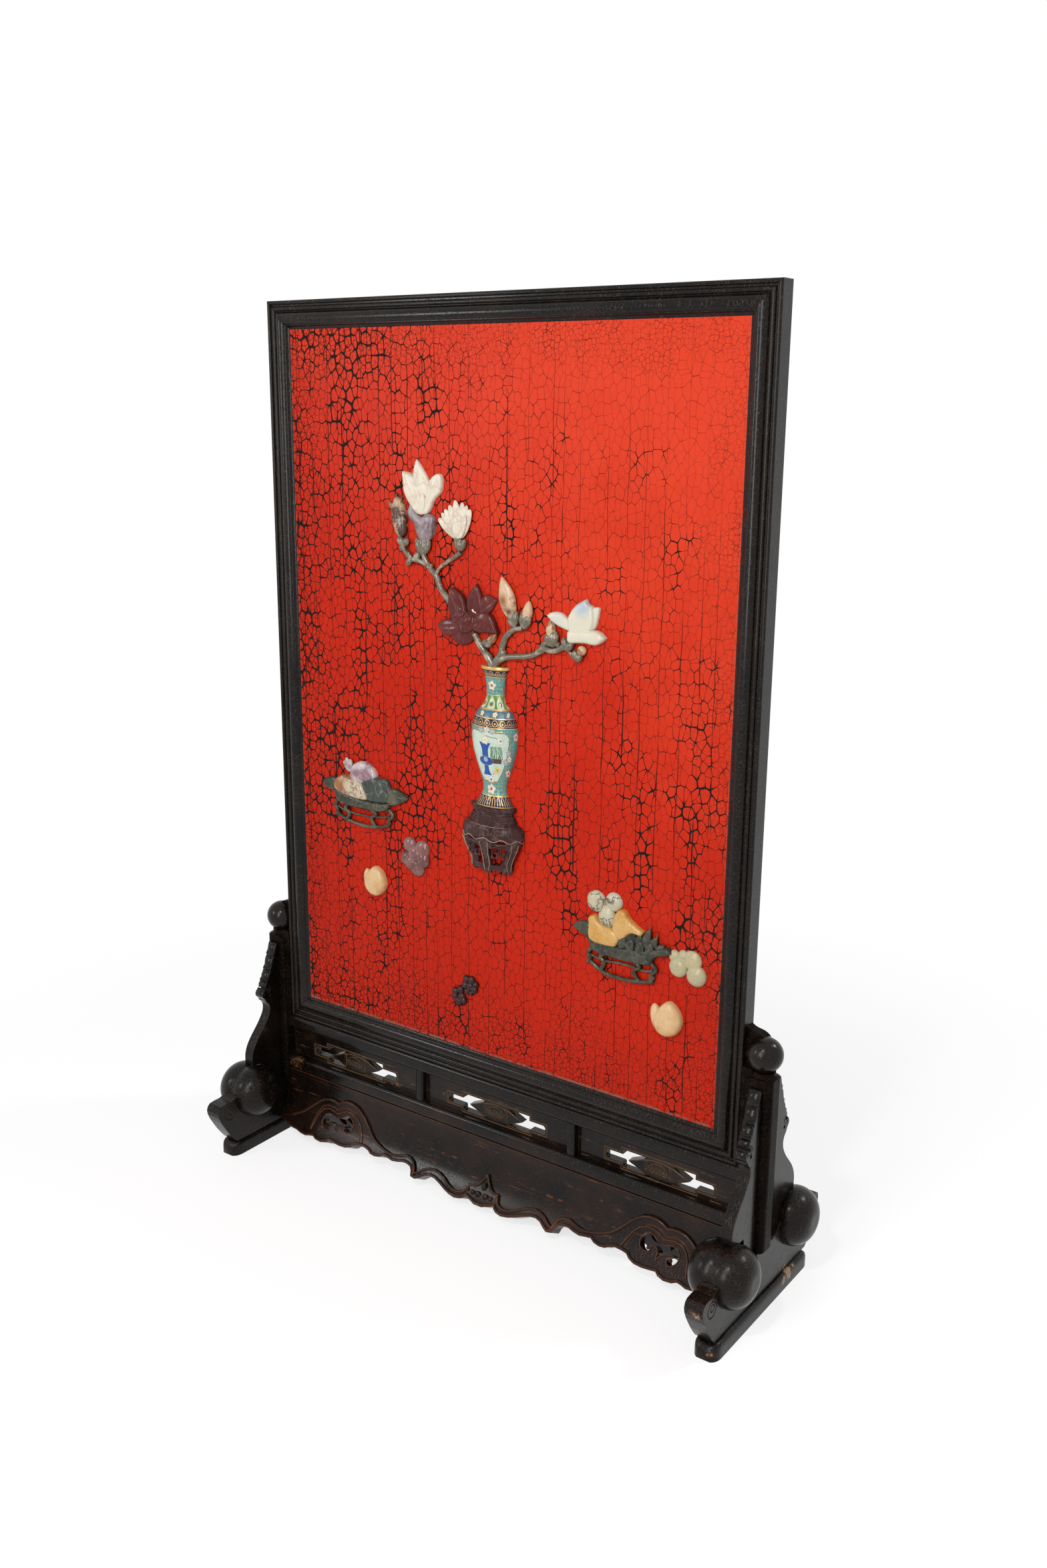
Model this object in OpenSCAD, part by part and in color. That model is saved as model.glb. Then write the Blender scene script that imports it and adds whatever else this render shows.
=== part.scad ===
// Floor screen: a vermilion lacquer panel with hardstone and cloisonne relief, framed in black lacquered wood,
// standing in the posts of a carved stand. Millimetres, +Z up, +X to the right, the decorated face towards -Y.
// The origin is on the floor, under the middle of the stand.

/* [Screen panel] */
// outer width of the screen frame
frame_w = 926; // [820:2:1100]
// outer height of the screen frame
frame_h = 1265; // [1050:5:1500]
// width of the frame moulding, outer edge to sight edge
mould_w = 45; // [40:1:50]
// depth of the lacquered panel, face to back
panel_t = 14; // [12:1:16]
// height of a hidden batten behind the panel
batten_h = 42; // [30:1:60]

/* [Stand] */
// height of the upper rail's top, on which the frame rests
seat_z = 235; // [230:1:250]
// thickness of a post's cheek, between the shaft and the frame
cheek_t = 9; // [7:0.5:12]
// side of a post, square
post_w = 42; // [40:1:44]
// height of the post tops
post_top = 394; // [385:1:410]
// radius of the ball on a post
ball_r = 27; // [18:1:27]
// height of a rail
rail_h = 27; // [24:1:28]
// width of a muntin between two openwork panels
muntin_w = 17; // [12:1:24]
// depth of an openwork panel
fret_t = 13; // [8:1:13]
// greatest depth of an apron's moulding step
field_step = 2.6; // [0.8:0.2:3]

/* [Feet] */
// thickness of a foot board
foot_t = 30; // [26:1:34]
// height of the foot board between the drums
foot_z = 106; // [104:1:108]
// distance from the middle to a front drum
drum_y = 98; // [96:1:100]
// height of the drum centres
drum_z = 110; // [109:1:112]
// how much further the back drums lie from the middle
back_shift = 8; // [0:1:9]
// how much further the back spandrels reach
back_reach = 12; // [0:1:14]
// radius of the rounding of a drum lobe
lobe_r = 36.5; // [35:0.5:38]
// half the distance between the two lobes of a drum
lobe_x = 14; // [10:1:18]
// height of a floor runner
runner_h = 28; // [24:1:28]
// width of a floor runner
runner_w = 42; // [38:1:44]
// length of a floor runner
runner_l = 318; // [306:2:330]
// thickness of a carved spandrel
spandrel_t = 19; // [14:1:24]

/* [Relief] */
// height of a large relief stone above the panel
stone_t = 9; // [5:1:14]
// height of the half vase and its stand above the panel
vase_t = 25; // [14:1:32]

/* [Hidden] */
$fn = 72;
// clearances: tenon in mortise, tongue in groove, sliding tongue in the post, ball in its seat
tenon_gap = 0.2;
groove_gap = 0.3;
slide_gap = 0.4;
ball_gap = 0.3;
// heights and widths that follow from the values above
frame_z = seat_z;
frame_top = frame_z + frame_h;
half_w = frame_w / 2;
post_in = half_w + cheek_t;
post_x = post_in + post_w / 2;
// the three bays between the posts are equal
muntin_x = (post_in + muntin_w / 2) / 3;
rail_front = -15;
rail_back = 19;
rail_mid = (rail_front + rail_back) / 2;
frame_front = -17;
frame_back = 17;
face_y = -7;
back_y = face_y + panel_t;
upper_z = seat_z - rail_h;
lower_z = 123.5;
lower_top = lower_z + rail_h;
fret_y = 2.6;
tongue_y = fret_y + fret_t / 2;
spine_top = 386;
ball_z = post_top + ball_r + 1;
block_in = post_x - foot_t / 2;
big = 400;

// points of a smooth closed curve through p, with n steps between two points
function curve_pt(a, b, c, d, t) =
    0.5 * (2 * b + (c - a) * t + (2 * a - 5 * b + 4 * c - d) * t * t + (3 * b - a - 3 * c + d) * t * t * t);
function smooth(p, n = 4) =
    [for (i = [0:len(p) - 1], k = [0:n - 1])
        curve_pt(p[(i + len(p) - 1) % len(p)], p[i], p[(i + 1) % len(p)], p[(i + 2) % len(p)], k / n)];
// points of a smooth open curve, ends included
function at(p, i) = p[max(0, min(len(p) - 1, i))];
function smooth_open(p, n = 3) = concat(
    [for (i = [0:len(p) - 2], k = [0:n - 1]) curve_pt(at(p, i - 1), p[i], p[i + 1], at(p, i + 2), k / n)],
    [p[len(p) - 1]]);
function mirror_x(p) = [for (i = [len(p) - 1:-1:0]) [-p[i][0], p[i][1]]];

module box(a, b) translate(a) cube([b[0] - a[0], b[1] - a[1], b[2] - a[2]]);

module sides() {
    children();
    mirror([1, 0, 0]) children();
}

// a square bar along X with rounded long edges
module round_bar(x0, x1, y0, y1, z0, z1, r) translate([x0, 0, 0]) rotate([90, 0, 90]) linear_extrude(x1 - x0)
    round_rect(y0, y1, z0, z1, r);

module round_rect(x0, x1, y0, y1, r) union() {
    translate([x0 + r, y0]) square([x1 - x0 - 2 * r, y1 - y0]);
    translate([x0, y0 + r]) square([x1 - x0, y1 - y0 - 2 * r]);
    for (x = [x0 + r, x1 - r], y = [y0 + r, y1 - r]) translate([x, y]) circle(r);
}

/* ---- screen frame ---- */

// section of the frame moulding: first value from the outer edge inwards, second from the back forwards
module mould_section() difference() {
    union() {
        square([mould_w, 24]);
        square([19, 26.5]);
        translate([28.5, 22.5]) circle(11.5);
        translate([13, 27]) circle(3.6);
        translate([3.2, 28]) circle(3.2);
        square([6.4, 28]);
        translate([37, 20]) square([mould_w - 37, 9]);
    }
    translate([mould_w + 1, 31]) circle(7);
    translate([4.8, -1]) square([1.2, 0.5]);
    translate([35, 17 - 5.3]) square([11, 8.6]);
    translate([16.2, 27.2]) square([1.6, 8]);
}

// a frame member lying along X with its outer edge at z = 0 and its inner side up, from -len/2 to len/2
module moulding(len) translate([-len / 2, 0, 0]) rotate([90, 0, 90]) linear_extrude(len)
    rotate(90) mould_section();

// mitred member along X: the moulding cut back to its own side of both mitres
module mitred(len) intersection() {
    translate([0, frame_back, 0]) moulding(len);
    translate([0, 30, 0]) rotate([90, 0, 0]) linear_extrude(60)
        polygon([[-len / 2, 0], [len / 2, 0], [len / 2 - mould_w, mould_w], [mould_w - len / 2, mould_w]]);
}

module tenon_boxes(grow) sides() for (z = [10, frame_h - 30])
    box([half_w - 44, -4 - grow, frame_z + z - grow], [half_w - 9 + grow, 4 + grow, frame_z + z + 20 + grow]);

module bottom_member() translate([0, 0, frame_z]) mitred(frame_w);

module top_member() translate([0, 0, frame_top]) mirror([0, 0, 1]) mitred(frame_w);

// grooves in the outer edges of the frame, which run down over the spines of the posts
module spine_grooves() sides()
    box([half_w - 8, -5, frame_z - 1], [half_w + 1, 5, spine_top + 4]);

module frame_bottom_rail() color("#1c1715") difference() {
    union() {
        bottom_member();
        intersection() {
            tenon_boxes(0);
            box([-half_w, -20, frame_z], [half_w, 20, frame_z + 60]);
        }
    }
    spine_grooves();
}

module frame_top_rail() color("#1c1715") union() {
    top_member();
    intersection() {
        tenon_boxes(0);
        box([-half_w, -20, frame_top - 60], [half_w, 20, frame_top]);
    }
}

// right stile, grooved in its outer edge for the spine of the post
module stile() color("#1c1715") difference() {
    translate([half_w, 0, frame_z + frame_h / 2]) rotate([0, -90, 0]) mitred(frame_h);
    tenon_boxes(tenon_gap);
    spine_grooves();
}

module frame_right_stile() stile();
module frame_left_stile() mirror([1, 0, 0]) stile();

sight_x = half_w - mould_w;
sight_z0 = frame_z + mould_w;
sight_z1 = frame_top - mould_w;

module lacquer_panel() color("#c8321c") union() {
    box([-sight_x + 0.2, face_y, sight_z0 + 0.2], [sight_x - 0.2, back_y, sight_z1 - 0.2]);
    box([-sight_x - 8, -2.7, sight_z0 - 8], [sight_x + 8, 4.7, sight_z1 + 8]);
}

// battens glued across the back of the panel
module panel_battens() color("#241c18") for (z = [0.18, 0.5, 0.82])
    round_bar(-sight_x + 1, sight_x - 1, back_y, back_y + 9, frame_z + frame_h * z - batten_h / 2,
        frame_z + frame_h * z + batten_h / 2, 2);

/* ---- posts, rails and openwork ---- */

// cheek of a post beside the frame, rising as an ogee behind the ball
ear = smooth_open([[0, 66], [5, 63], [11, 61], [19, 59.5], [25, 57], [30, 53], [34, 47]], 3);

// corners of the shaft on its outer side, and the dome that rounds its shoulder
outer_r = 12;
shoulder_r = 46;

module post_solid() union() {
    intersection() {
        translate([post_x, 0, foot_z]) linear_extrude(post_top - foot_z) intersection() {
            round_rect(-post_w / 2, post_w, -post_w / 2, post_w / 2, 5);
            round_rect(-post_w, post_w / 2, -post_w / 2, post_w / 2, outer_r);
        }
        union() {
            translate([post_x, 0, post_top - shoulder_r]) sphere(shoulder_r, $fn = 180);
            box([post_x - 50, -50, 0], [post_x + 50, 50, post_top - shoulder_r]);
        }
    }
    translate([post_x - 8, -12, foot_z - 60]) cube([16, 24, 62]);
    box([half_w + slide_gap, -14, seat_z], [post_in + 8, 14, 400]);
    box([half_w - 8 + slide_gap, -5 + slide_gap, seat_z], [post_in, 5 - slide_gap, spine_top]);
    translate([half_w + slide_gap, 14, post_top]) rotate([90, 0, 0]) linear_extrude(16)
        polygon(concat([[0, -14]], ear, [[34, -14]]));
    translate([post_x, 0, post_top - 6]) cylinder(r = 17, h = 9);
}

module post() color("#1e1816") difference() {
    post_solid();
    translate([post_x, 0, ball_z]) sphere(ball_r + ball_gap);
    translate([post_x, 0, post_top - 24]) cylinder(r = 6 + tenon_gap, h = 40);
    rail_tenons(tenon_gap);
    mirror([1, 0, 0]) rail_tenons(tenon_gap);
    spandrel_tongues(groove_gap / 2);
    fret_tongues(groove_gap / 2);
}

module right_post() post();
module left_post() mirror([1, 0, 0]) post();

module rail_tenons(grow) for (z = [lower_z, upper_z])
    box([post_in - 2, rail_mid - 6 - grow, z + 6 - grow],
        [post_in + 16 + grow, rail_mid + 6 + grow, z + rail_h - 6 + grow]);

module finial() color("#211c1b") translate([post_x, 0, 0]) union() {
    translate([0, 0, ball_z]) sphere(ball_r);
    translate([0, 0, post_top - 20]) cylinder(r = 6, h = 30);
}

module right_finial() finial();
module left_finial() mirror([1, 0, 0]) finial();

module rail(z) union() {
    round_bar(-post_in, post_in, rail_front, rail_back, z, z + rail_h, 8);
    sides() rail_tenons_at(z);
}

module rail_tenons_at(z) box([post_in - 2, rail_mid - 6, z + 6], [post_in + 16, rail_mid + 6, z + rail_h - 6]);

module upper_rail() color("#221b18") difference() {
    rail(upper_z);
    muntin_tenons(tenon_gap);
    fret_tongues(groove_gap / 2);
}

module lower_rail() color("#221b18") difference() {
    rail(lower_z);
    muntin_tenons(tenon_gap);
    fret_tongues(groove_gap / 2);
    apron_tongues(groove_gap / 2);
}

module muntin_tenons(grow) sides()
    box([muntin_x - 5 - grow, rail_mid - 5 - grow, lower_top - 8 - grow],
        [muntin_x + 5 + grow, rail_mid + 5 + grow, upper_z + 8 + grow]);

module muntin(x) difference() {
    union() {
        intersection() {
            translate([x, 0, lower_top]) linear_extrude(upper_z - lower_top)
                round_rect(-muntin_w / 2, muntin_w / 2, -10, rail_back - 2, 5);
            box([x - 20, -30, lower_top], [x + 20, 30, upper_z]);
        }
        box([x - 5, rail_mid - 5, lower_top - 8], [x + 5, rail_mid + 5, upper_z + 8]);
    }
    fret_tongues(groove_gap / 2);
}

module right_muntin() color("#221b18") muntin(muntin_x);
module left_muntin() color("#221b18") muntin(-muntin_x);

bay_in = muntin_x - muntin_w / 2;
bay_out = muntin_x + muntin_w / 2;
bay_mid = (bay_out + post_in) / 2;

// tongues of the openwork panels, held by the grooves of rails, muntins and posts
module fret_tongue(x0, x1, grow)
    box([x0 - 4 - grow, tongue_y - 3 - grow, lower_top - 4 - grow],
        [x1 + 4 + grow, tongue_y + 3 + grow, upper_z + 4 + grow]);

module fret_tongues(grow) {
    fret_tongue(-bay_in, bay_in, grow);
    sides() fret_tongue(bay_out, post_in, grow);
}

// right one of the two openings of an openwork panel; k is the half length of the pierced figure
function fret_hole(k) = [[24, 187], [k - 32, 187], [k - 32, 178.5], [k - 3, 178.5], [k, 175.5], [k, 163.5],
    [k - 30, 163.5], [k - 32, 161.5], [k - 32, 155.5], [24, 155.5], [27, 158.6], [36, 162.3], [46, 166.3],
    [56, 171], [46, 175.3], [36, 179.3], [27, 183.6]];
function fret_rim(k) = [[k + 4, 159.5], [k - 28, 159.5], [k - 28, 151.5], [28 - k, 151.5], [28 - k, 159.5],
    [-k - 4, 159.5], [-k - 4, 182.5], [28 - k, 182.5], [28 - k, 191], [k - 28, 191], [k - 28, 182.5], [k + 4, 182.5]];
medallion = smooth([[-54, 171], [-40, 176.8], [-24, 183], [0, 186], [24, 183], [40, 176.8], [54, 171],
    [40, 165.2], [24, 159], [0, 156.5], [-24, 159], [-40, 165.2]], 4);
knot = smooth([[-19, 171], [-12, 179.5], [0, 183], [12, 179.5], [19, 171], [12, 162.5], [0, 159], [-12, 162.5]], 3);

module fret_panel(x, w, k) color("#2a211c") difference() {
    union() {
        box([x - w / 2, fret_y, lower_top], [x + w / 2, fret_y + fret_t, upper_z]);
        box([x - w / 2 - 4, tongue_y - 3, lower_top - 4], [x + w / 2 + 4, tongue_y + 3, upper_z + 4]);
        slab(x, 1, medallion);
        slab(x, 3, knot);
        for (s = [-1, 1]) box([x + s * 22.5 - 2, fret_y - 2.2, 159.5], [x + s * 22.5 + 2, fret_y + 1, 183]);
    }
    for (s = [0, 1]) translate([x, 0, 0]) mirror([s, 0, 0]) translate([0, fret_y + fret_t + 1, 0])
        rotate([90, 0, 0]) linear_extrude(fret_t + 8) polygon(fret_hole(k));
    translate([x, fret_y + 0.8, 0]) rotate([90, 0, 0]) linear_extrude(2)
        difference() {
            polygon(fret_rim(k));
            polygon([for (p = fret_rim(k)) [p[0] - sign(p[0]) * 1.3, p[1] - sign(p[1] - 171) * 1.3]]);
        }
    hatch(x);
}

// a raised part on the face of an openwork panel
module slab(x, t, pts) translate([x, fret_y + 1, 0]) rotate([90, 0, 0]) linear_extrude(t + 1) polygon(pts);

// crossed cuts in the knot of the medallion
module hatch(x) for (a = [-45, 45], k = [-2:2]) translate([x + k * 7, fret_y - 3, 171]) rotate([0, a, 0])
    box([-0.5, -1, -7.5], [0.5, 1, 7.5]);

module middle_openwork() fret_panel(0, 2 * bay_in, 102);
module left_openwork() fret_panel(-bay_mid, post_in - bay_out, 98);
module right_openwork() fret_panel(bay_mid, post_in - bay_out, 98);

/* ---- aprons ---- */

// half of the apron's lower edge: distance from the middle, distance down the tilted face
apron_edge = [[0, 109], [8, 109], [15, 106], [24, 103], [30, 101], [33, 105], [39, 109], [50, 111], [62, 109],
    [74, 105], [88, 99], [102, 94], [114, 93], [124, 96], [134, 103], [141, 107], [149, 106], [152, 98],
    [158, 91], [168, 88], [178, 88], [188, 91], [200, 93], [212, 91], [222, 90], [230, 95], [240, 97],
    [250, 96], [256, 92], [268, 89], [282, 90], [291, 92], [298, 98], [308, 102], [322, 103], [335, 102],
    [348, 101], [354, 106], [365, 109], [378, 108], [386, 104], [394, 105], [404, 108], [416, 107],
    [428, 104], [442, 103], [456, 99], [468, 96], [480, 94]];
// half of the inner line of the raised rim, which sweeps up over the scroll at the end
rim_line = [[0, 56], [5, 66], [12, 76], [20, 81], [30, 82], [33, 92], [38, 98], [48, 101], [60, 100],
    [72, 95], [84, 88], [96, 83], [108, 81], [120, 83], [130, 88], [139, 95], [147, 100], [150, 91],
    [156, 82], [165, 77], [175, 76], [186, 80], [197, 83], [208, 84], [220, 82], [232, 79], [243, 75],
    [254, 70], [264, 62], [274, 52], [284, 42], [294, 34], [305, 28], [317, 25], [330, 25], [341, 29],
    [350, 34], [360, 31], [372, 31], [384, 34], [394, 40], [404, 48], [414, 57], [424, 66], [436, 74],
    [450, 81], [464, 86], [480, 89]];
// the pierced scroll: two lobes joined along the top, with a hook curling into each
scroll = [[306, 64], [308, 56], [314, 50], [322, 47.5], [330, 51], [336, 56], [344, 58], [351, 58.5],
    [358, 56], [367, 55.5], [374, 58.5], [378, 65], [379, 72], [377, 78], [372, 84], [366, 87], [360, 85],
    [358, 79], [359, 75], [363, 73], [368, 73], [368, 70.5], [363, 69.5], [355, 71.5], [348, 75.5],
    [343, 81], [341, 85], [340, 79], [341, 73], [338, 68], [332, 65], [327, 65.5], [325, 69], [327, 73],
    [324, 77], [317, 78], [310, 76], [307, 71]];
// two incised lines that follow the rim over the scroll
sweep = [[282, 88], [285, 76], [290, 62], [298, 48], [308, 39], [320, 35], [332, 35], [342, 39], [350, 44],
    [360, 41], [372, 41], [383, 45], [391, 53], [397, 64], [400, 78], [401, 92]];
tilt = 30;

// a flat shape drawn on the tilted plane of the apron, cut right through it
module tilted(pts) translate([0, -11, lower_z]) rotate([90 - tilt, 0, 0]) translate([0, 0, -75])
    linear_extrude(150) polygon([for (p = pts) [p[0] * post_in / 472, -p[1]]]);

module halves(pts) {
    tilted(pts);
    mirror([1, 0, 0]) tilted(pts);
}

// the apron board before its outline is cut: a hollow face in front, a flatter curve behind
module apron_board(step) difference() {
    translate([0, -299, 120]) rotate([0, 90, 0]) cylinder(r = 300, h = 2 * block_in, center = true, $fn = 200);
    translate([0, -137, 110]) rotate([0, 90, 0]) cylinder(r = 126 + step, h = 2 * post_x, center = true, $fn = 200);
    box([-post_x, -700, lower_z], [post_x, 100, 500]);
    box([-post_x, -700, -300], [post_x, 100, 5]);
    box([-post_x, -700, -300], [post_x, -90, 500]);
}

module apron_tongue(grow) box([-post_in + 4 - grow, -8 - grow, lower_z - 2], [post_in - 4 + grow, -2 + grow, 128 + grow]);

module apron_tongues(grow) {
    apron_tongue(grow);
    translate([0, 2 * rail_mid, 0]) mirror([0, 1, 0]) apron_tongue(grow);
}

module apron() difference() {
    union() {
        intersection() {
            apron_board(0);
            halves(concat([[0, -6]], smooth_open(apron_edge, 2), [[480, -6]]));
        }
        apron_tongue(0);
    }
    intersection() {
        apron_board(-20);
        difference() {
            halves(concat([[0, 7]], smooth_open(rim_line, 2), [[480, 7]]));
            apron_board(field_step);
        }
    }
    halves(smooth(scroll, 2));
    intersection() {
        halves(band(sweep, 1.6));
        difference() {
            apron_board(-20);
            apron_board(1.2);
        }
    }
    sides() box([post_in, -30, foot_z], [block_in + 2, 30, 160]);
    sides() box([post_x - 19 - slide_gap, -120, 0], [block_in + 2, 60, runner_h + slide_gap]);
}

// a narrow strip of width w under an open curve
function band(p, w) = let (q = smooth_open(p, 2))
    concat(q, [for (i = [len(q) - 1:-1:0]) [q[i][0] + (i < len(q) / 2 ? w : -w) * 0.6, q[i][1] + w]]);

module front_apron() color("#3a241b") apron();
module back_apron() color("#3a241b") translate([0, 2 * rail_mid, 0]) mirror([0, 1, 0]) apron();

/* ---- feet ---- */

// half of the foot board seen from the side: depth, height; it reaches d further than the front half
function foot_half(d) = [[0, runner_h], [-148 - d, runner_h], [-153 - d, 32], [-161 - d, 42], [-169.5 - d, 54],
    [-177.5 - d, 67], [-184.5 - d, 79], [-189.5 - d, 90], [-191 - d, 99], [-188.5 - d, 106], [-183 - d, 110],
    [-172 - d, 111], [-160 - d, 111], [-148 - d, 114], [-141 - d, 119], [-134 - d, 122], [-120 - d, 122],
    [-120 - d, 150], [-60 - d, 150], [-54 - d, 122], [-46 - d, 119], [-38 - d, 112], [-30 - d, 107.5],
    [-22 - d, foot_z], [0, foot_z]];
function flip(p) = [for (i = [len(p) - 1:-1:0]) [-p[i][0], p[i][1]]];

module foot_outline() difference() {
    polygon(concat(foot_half(0), flip(foot_half(back_shift))));
    for (y = [-drum_y, drum_y + back_shift]) {
        translate([y, drum_z]) circle(44.2);
        translate([y - 40, drum_z + 6]) square([80, 60]);
    }
}

// a side view shape (depth, height) given the thickness t about the middle of a foot
module side_slab(t) translate([post_x - t / 2, 0, 0]) rotate([90, 0, 90]) linear_extrude(t) children();

// a round groove cut into both sides of a foot board
module eye(y, z, r, w) for (e = [-1, 1]) translate([post_x + e * (foot_t / 2), y, z]) rotate([0, 90, 0])
    difference() {
        cylinder(r = r, h = 2.4, center = true);
        cylinder(r = r - w, h = 4, center = true);
    }

module foot() color("#1f1917") difference() {
    side_slab(foot_t) foot_outline();
    box([post_x - 8 - tenon_gap, -12 - tenon_gap, foot_z - 61], [post_x + 8 + tenon_gap, 12 + tenon_gap, foot_z + 5]);
    for (y = [-162, 162 + back_shift]) {
        eye(y, 91, 14, 2.2);
        eye(y - sign(y), 93, 6.5, 1.8);
    }
}

module right_foot() foot();
module left_foot() mirror([1, 0, 0]) foot();

// a drum of two round lobes, turned about X and notched over the edge of the foot board
module drum(y) color("#221b19") difference() {
    translate([post_x, y, drum_z]) rotate([0, 90, 0]) rotate_extrude() intersection() {
        union() {
            translate([11, lobe_x]) circle(lobe_r);
            translate([11, -lobe_x]) circle(lobe_r);
            translate([0, -lobe_x - lobe_r]) square([11, 2 * (lobe_x + lobe_r)]);
            translate([0, -5]) square([lobe_r + 9.1, 10]);
        }
        translate([0, -100]) square([100, 200]);
    }
    side_slab(foot_t) foot_outline();
}

module right_front_drum() drum(-drum_y);
module right_back_drum() drum(drum_y + back_shift);
module left_front_drum() mirror([1, 0, 0]) drum(-drum_y);
module left_back_drum() mirror([1, 0, 0]) drum(drum_y + back_shift);

// half length profile of a runner seen from the side, with a blunt rounded toe
runner_toe = smooth_open([[-146, 28], [-152, 25], [-157, 19], [-159, 12], [-158, 6], [-154, 0]], 3);
runner_k = runner_l / 318;

// the floor runner: rounded toes, rounded upper edges and a bowed plan
module runner() color("#1f1917") intersection() {
    translate([post_x - 19, 0, 0]) rotate([90, 0, 90]) linear_extrude(runner_w + 1)
        polygon([for (q = concat(runner_toe, flip(runner_toe))) [q[0] * runner_k, q[1] * runner_h / 28]]);
    translate([0, runner_l, 0]) rotate([90, 0, 0]) linear_extrude(2 * runner_l) union() {
        translate([post_x - 19, 0]) square([runner_w, runner_h - 7]);
        round_rect(post_x - 19, post_x - 19 + runner_w, 2, runner_h, 7);
    }
    linear_extrude(60) intersection() {
        translate([post_x - 19 + runner_w - 2600, 0]) circle(2600, $fn = 720);
        translate([post_x - 19 + runner_w / 2, runner_l / 2 - toe_r]) toe_plan();
        translate([post_x - 19 + runner_w / 2, toe_r - runner_l / 2]) mirror([0, 1]) toe_plan();
    }
}

// plan of a runner's toe: a round end on a long strip
toe_r = runner_w / 2 + 3;
module toe_plan() union() {
    circle(toe_r);
    translate([-toe_r, -600]) square([2 * toe_r, 600]);
}

module right_runner() runner();
module left_runner() mirror([1, 0, 0]) runner();

// front half of a spandrel: four cusped lobes, the volute, the waist and the foot on the drum
spandrel_edge = concat(
    [[-21, 376]], smooth_open([[-26.5, 375.5], [-29, 369], [-30.5, 363], [-35, 356]], 3),
    smooth_open([[-34, 352], [-37.5, 347], [-39, 341], [-40.5, 335], [-44.5, 330]], 3),
    smooth_open([[-43.5, 327], [-47, 321], [-49, 315], [-54, 310]], 3),
    smooth_open([[-53, 307], [-56.5, 303], [-58, 298]], 2),
    smooth_open([[-57.5, 296], [-62, 292.5], [-65.5, 287], [-65, 281], [-60, 275.5], [-57, 270], [-52, 265],
        [-49, 258], [-49.5, 248], [-55, 237], [-64, 225], [-76, 212], [-87, 199], [-94, 187], [-97.5, 175],
        [-98, 163], [-97, 150]], 3),
    [[-97, 110], [-60, 110], [-24, foot_z], [-21, foot_z]]);

// outline of a spandrel that reaches d further than the front one, over the drum at y
module spandrel_shape(d, y) difference() {
    polygon([for (p = spandrel_edge) [p[0] < -23 ? p[0] - d : p[0], p[1]]]);
    translate([y, drum_z]) circle(47.6);
    polygon(foot_half(-98 - y));
}

module spandrel_tongue(grow) box([post_x - 4 - grow, -post_w / 2 - 1, 120 - grow],
    [post_x + 4 + grow, -post_w / 2 + 5 + grow, 366 + grow]);

module spandrel_tongues(grow) {
    spandrel_tongue(grow);
    mirror([0, 1, 0]) spandrel_tongue(grow);
}

module spandrel(d, y) color("#201a18") difference() {
    union() {
        side_slab(spandrel_t) spandrel_shape(d, y);
        spandrel_tongue(0);
    }
    side_slab(60) {
        translate([-55 - d, 294]) circle(3.6);
        translate([-49.5 - d, 281]) circle(3.2);
    }
    for (e = [-1, 1]) translate([post_x + e * spandrel_t / 2, -54.5 - d, 293]) rotate([0, 90, 0]) difference() {
        cylinder(r = 8, h = 2, center = true);
        cylinder(r = 6.4, h = 4, center = true);
    }
}

module right_front_spandrel() spandrel(0, -drum_y);
module left_front_spandrel() mirror([1, 0, 0]) spandrel(0, -drum_y);
module right_back_spandrel() mirror([0, 1, 0]) spandrel(back_reach, -drum_y - back_shift);
module left_back_spandrel() mirror([1, 0, 0]) mirror([0, 1, 0]) spandrel(back_reach, -drum_y - back_shift);

/* ---- relief stones on the panel ---- */

// a relief group about the point (x, z) keeps its share of the panel's width and height
wide = (frame_w - 2 * mould_w) / 836;
tall = (frame_h - 2 * mould_w) / 1175;
module placed(x, z) translate([x * (wide - 1), 0, frame_z + frame_h / 2 - 867.5 + (z - 867.5) * (tall - 1)])
    children();

// relief outlines are drawn on the panel: distance right of the middle, height
module raised(pts, t, n = 3) translate([0, face_y, 0]) rotate([90, 0, 0]) linear_extrude(t)
    polygon(n > 1 ? smooth(pts, n) : pts);

// a dome over the point c that is t high there and falls by drop at the distance d
module dome(c, t, d, drop) translate([c[0], face_y - t + (d * d + drop * drop) / (2 * drop), c[1]])
    sphere((d * d + drop * drop) / (2 * drop), $fn = 360);

// a relief stone: its outline with a domed front
module stone(pts, t, c, d, drop, n = 3) intersection() {
    raised(pts, t, n);
    dome(c, t, d, drop);
}

// a long stone rounded across its length: a cylinder lies along the direction a from c
module bud(pts, t, c, a, d, drop, n = 3) intersection() {
    raised(pts, t, n);
    translate([c[0], face_y - t + (d * d + drop * drop) / (2 * drop), c[1]]) rotate([0, a, 0])
        cylinder(r = (d * d + drop * drop) / (2 * drop), h = big, center = true, $fn = 240);
}

// a round stone standing t out of the panel with the radius r at its foot
module pebble(x, z, r, t) intersection() {
    translate([x, face_y - t + (r * r + t * t) / (2 * t), z]) sphere((r * r + t * t) / (2 * t), $fn = 64);
    box([x - r - 1, face_y - t - 1, z - r - 1], [x + r + 1, face_y, z + r + 1]);
}

// outline of a twig along the smooth line through p: across, height, half width
function ribbon(p, k) = let (q = smooth_open(p, 4), n = len(q) - 1, side = [for (i = [0:n]) let (
    d = q[min(n, i + 1)] - q[max(0, i - 1)], u = [-d[1], d[0]] / norm([d[0], d[1]])) u])
    concat([for (i = [0:n]) [q[i][0], q[i][1]] + side[i] * q[i][2] * k],
        [for (i = [n:-1:0]) [q[i][0], q[i][1]] - side[i] * q[i][2] * k]);

// a twig with a narrower ridge on its back
module twig(p) union() {
    raised(ribbon(p, 1), 3.4, 1);
    raised(ribbon(p, 0.6), 5, 1);
}

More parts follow.
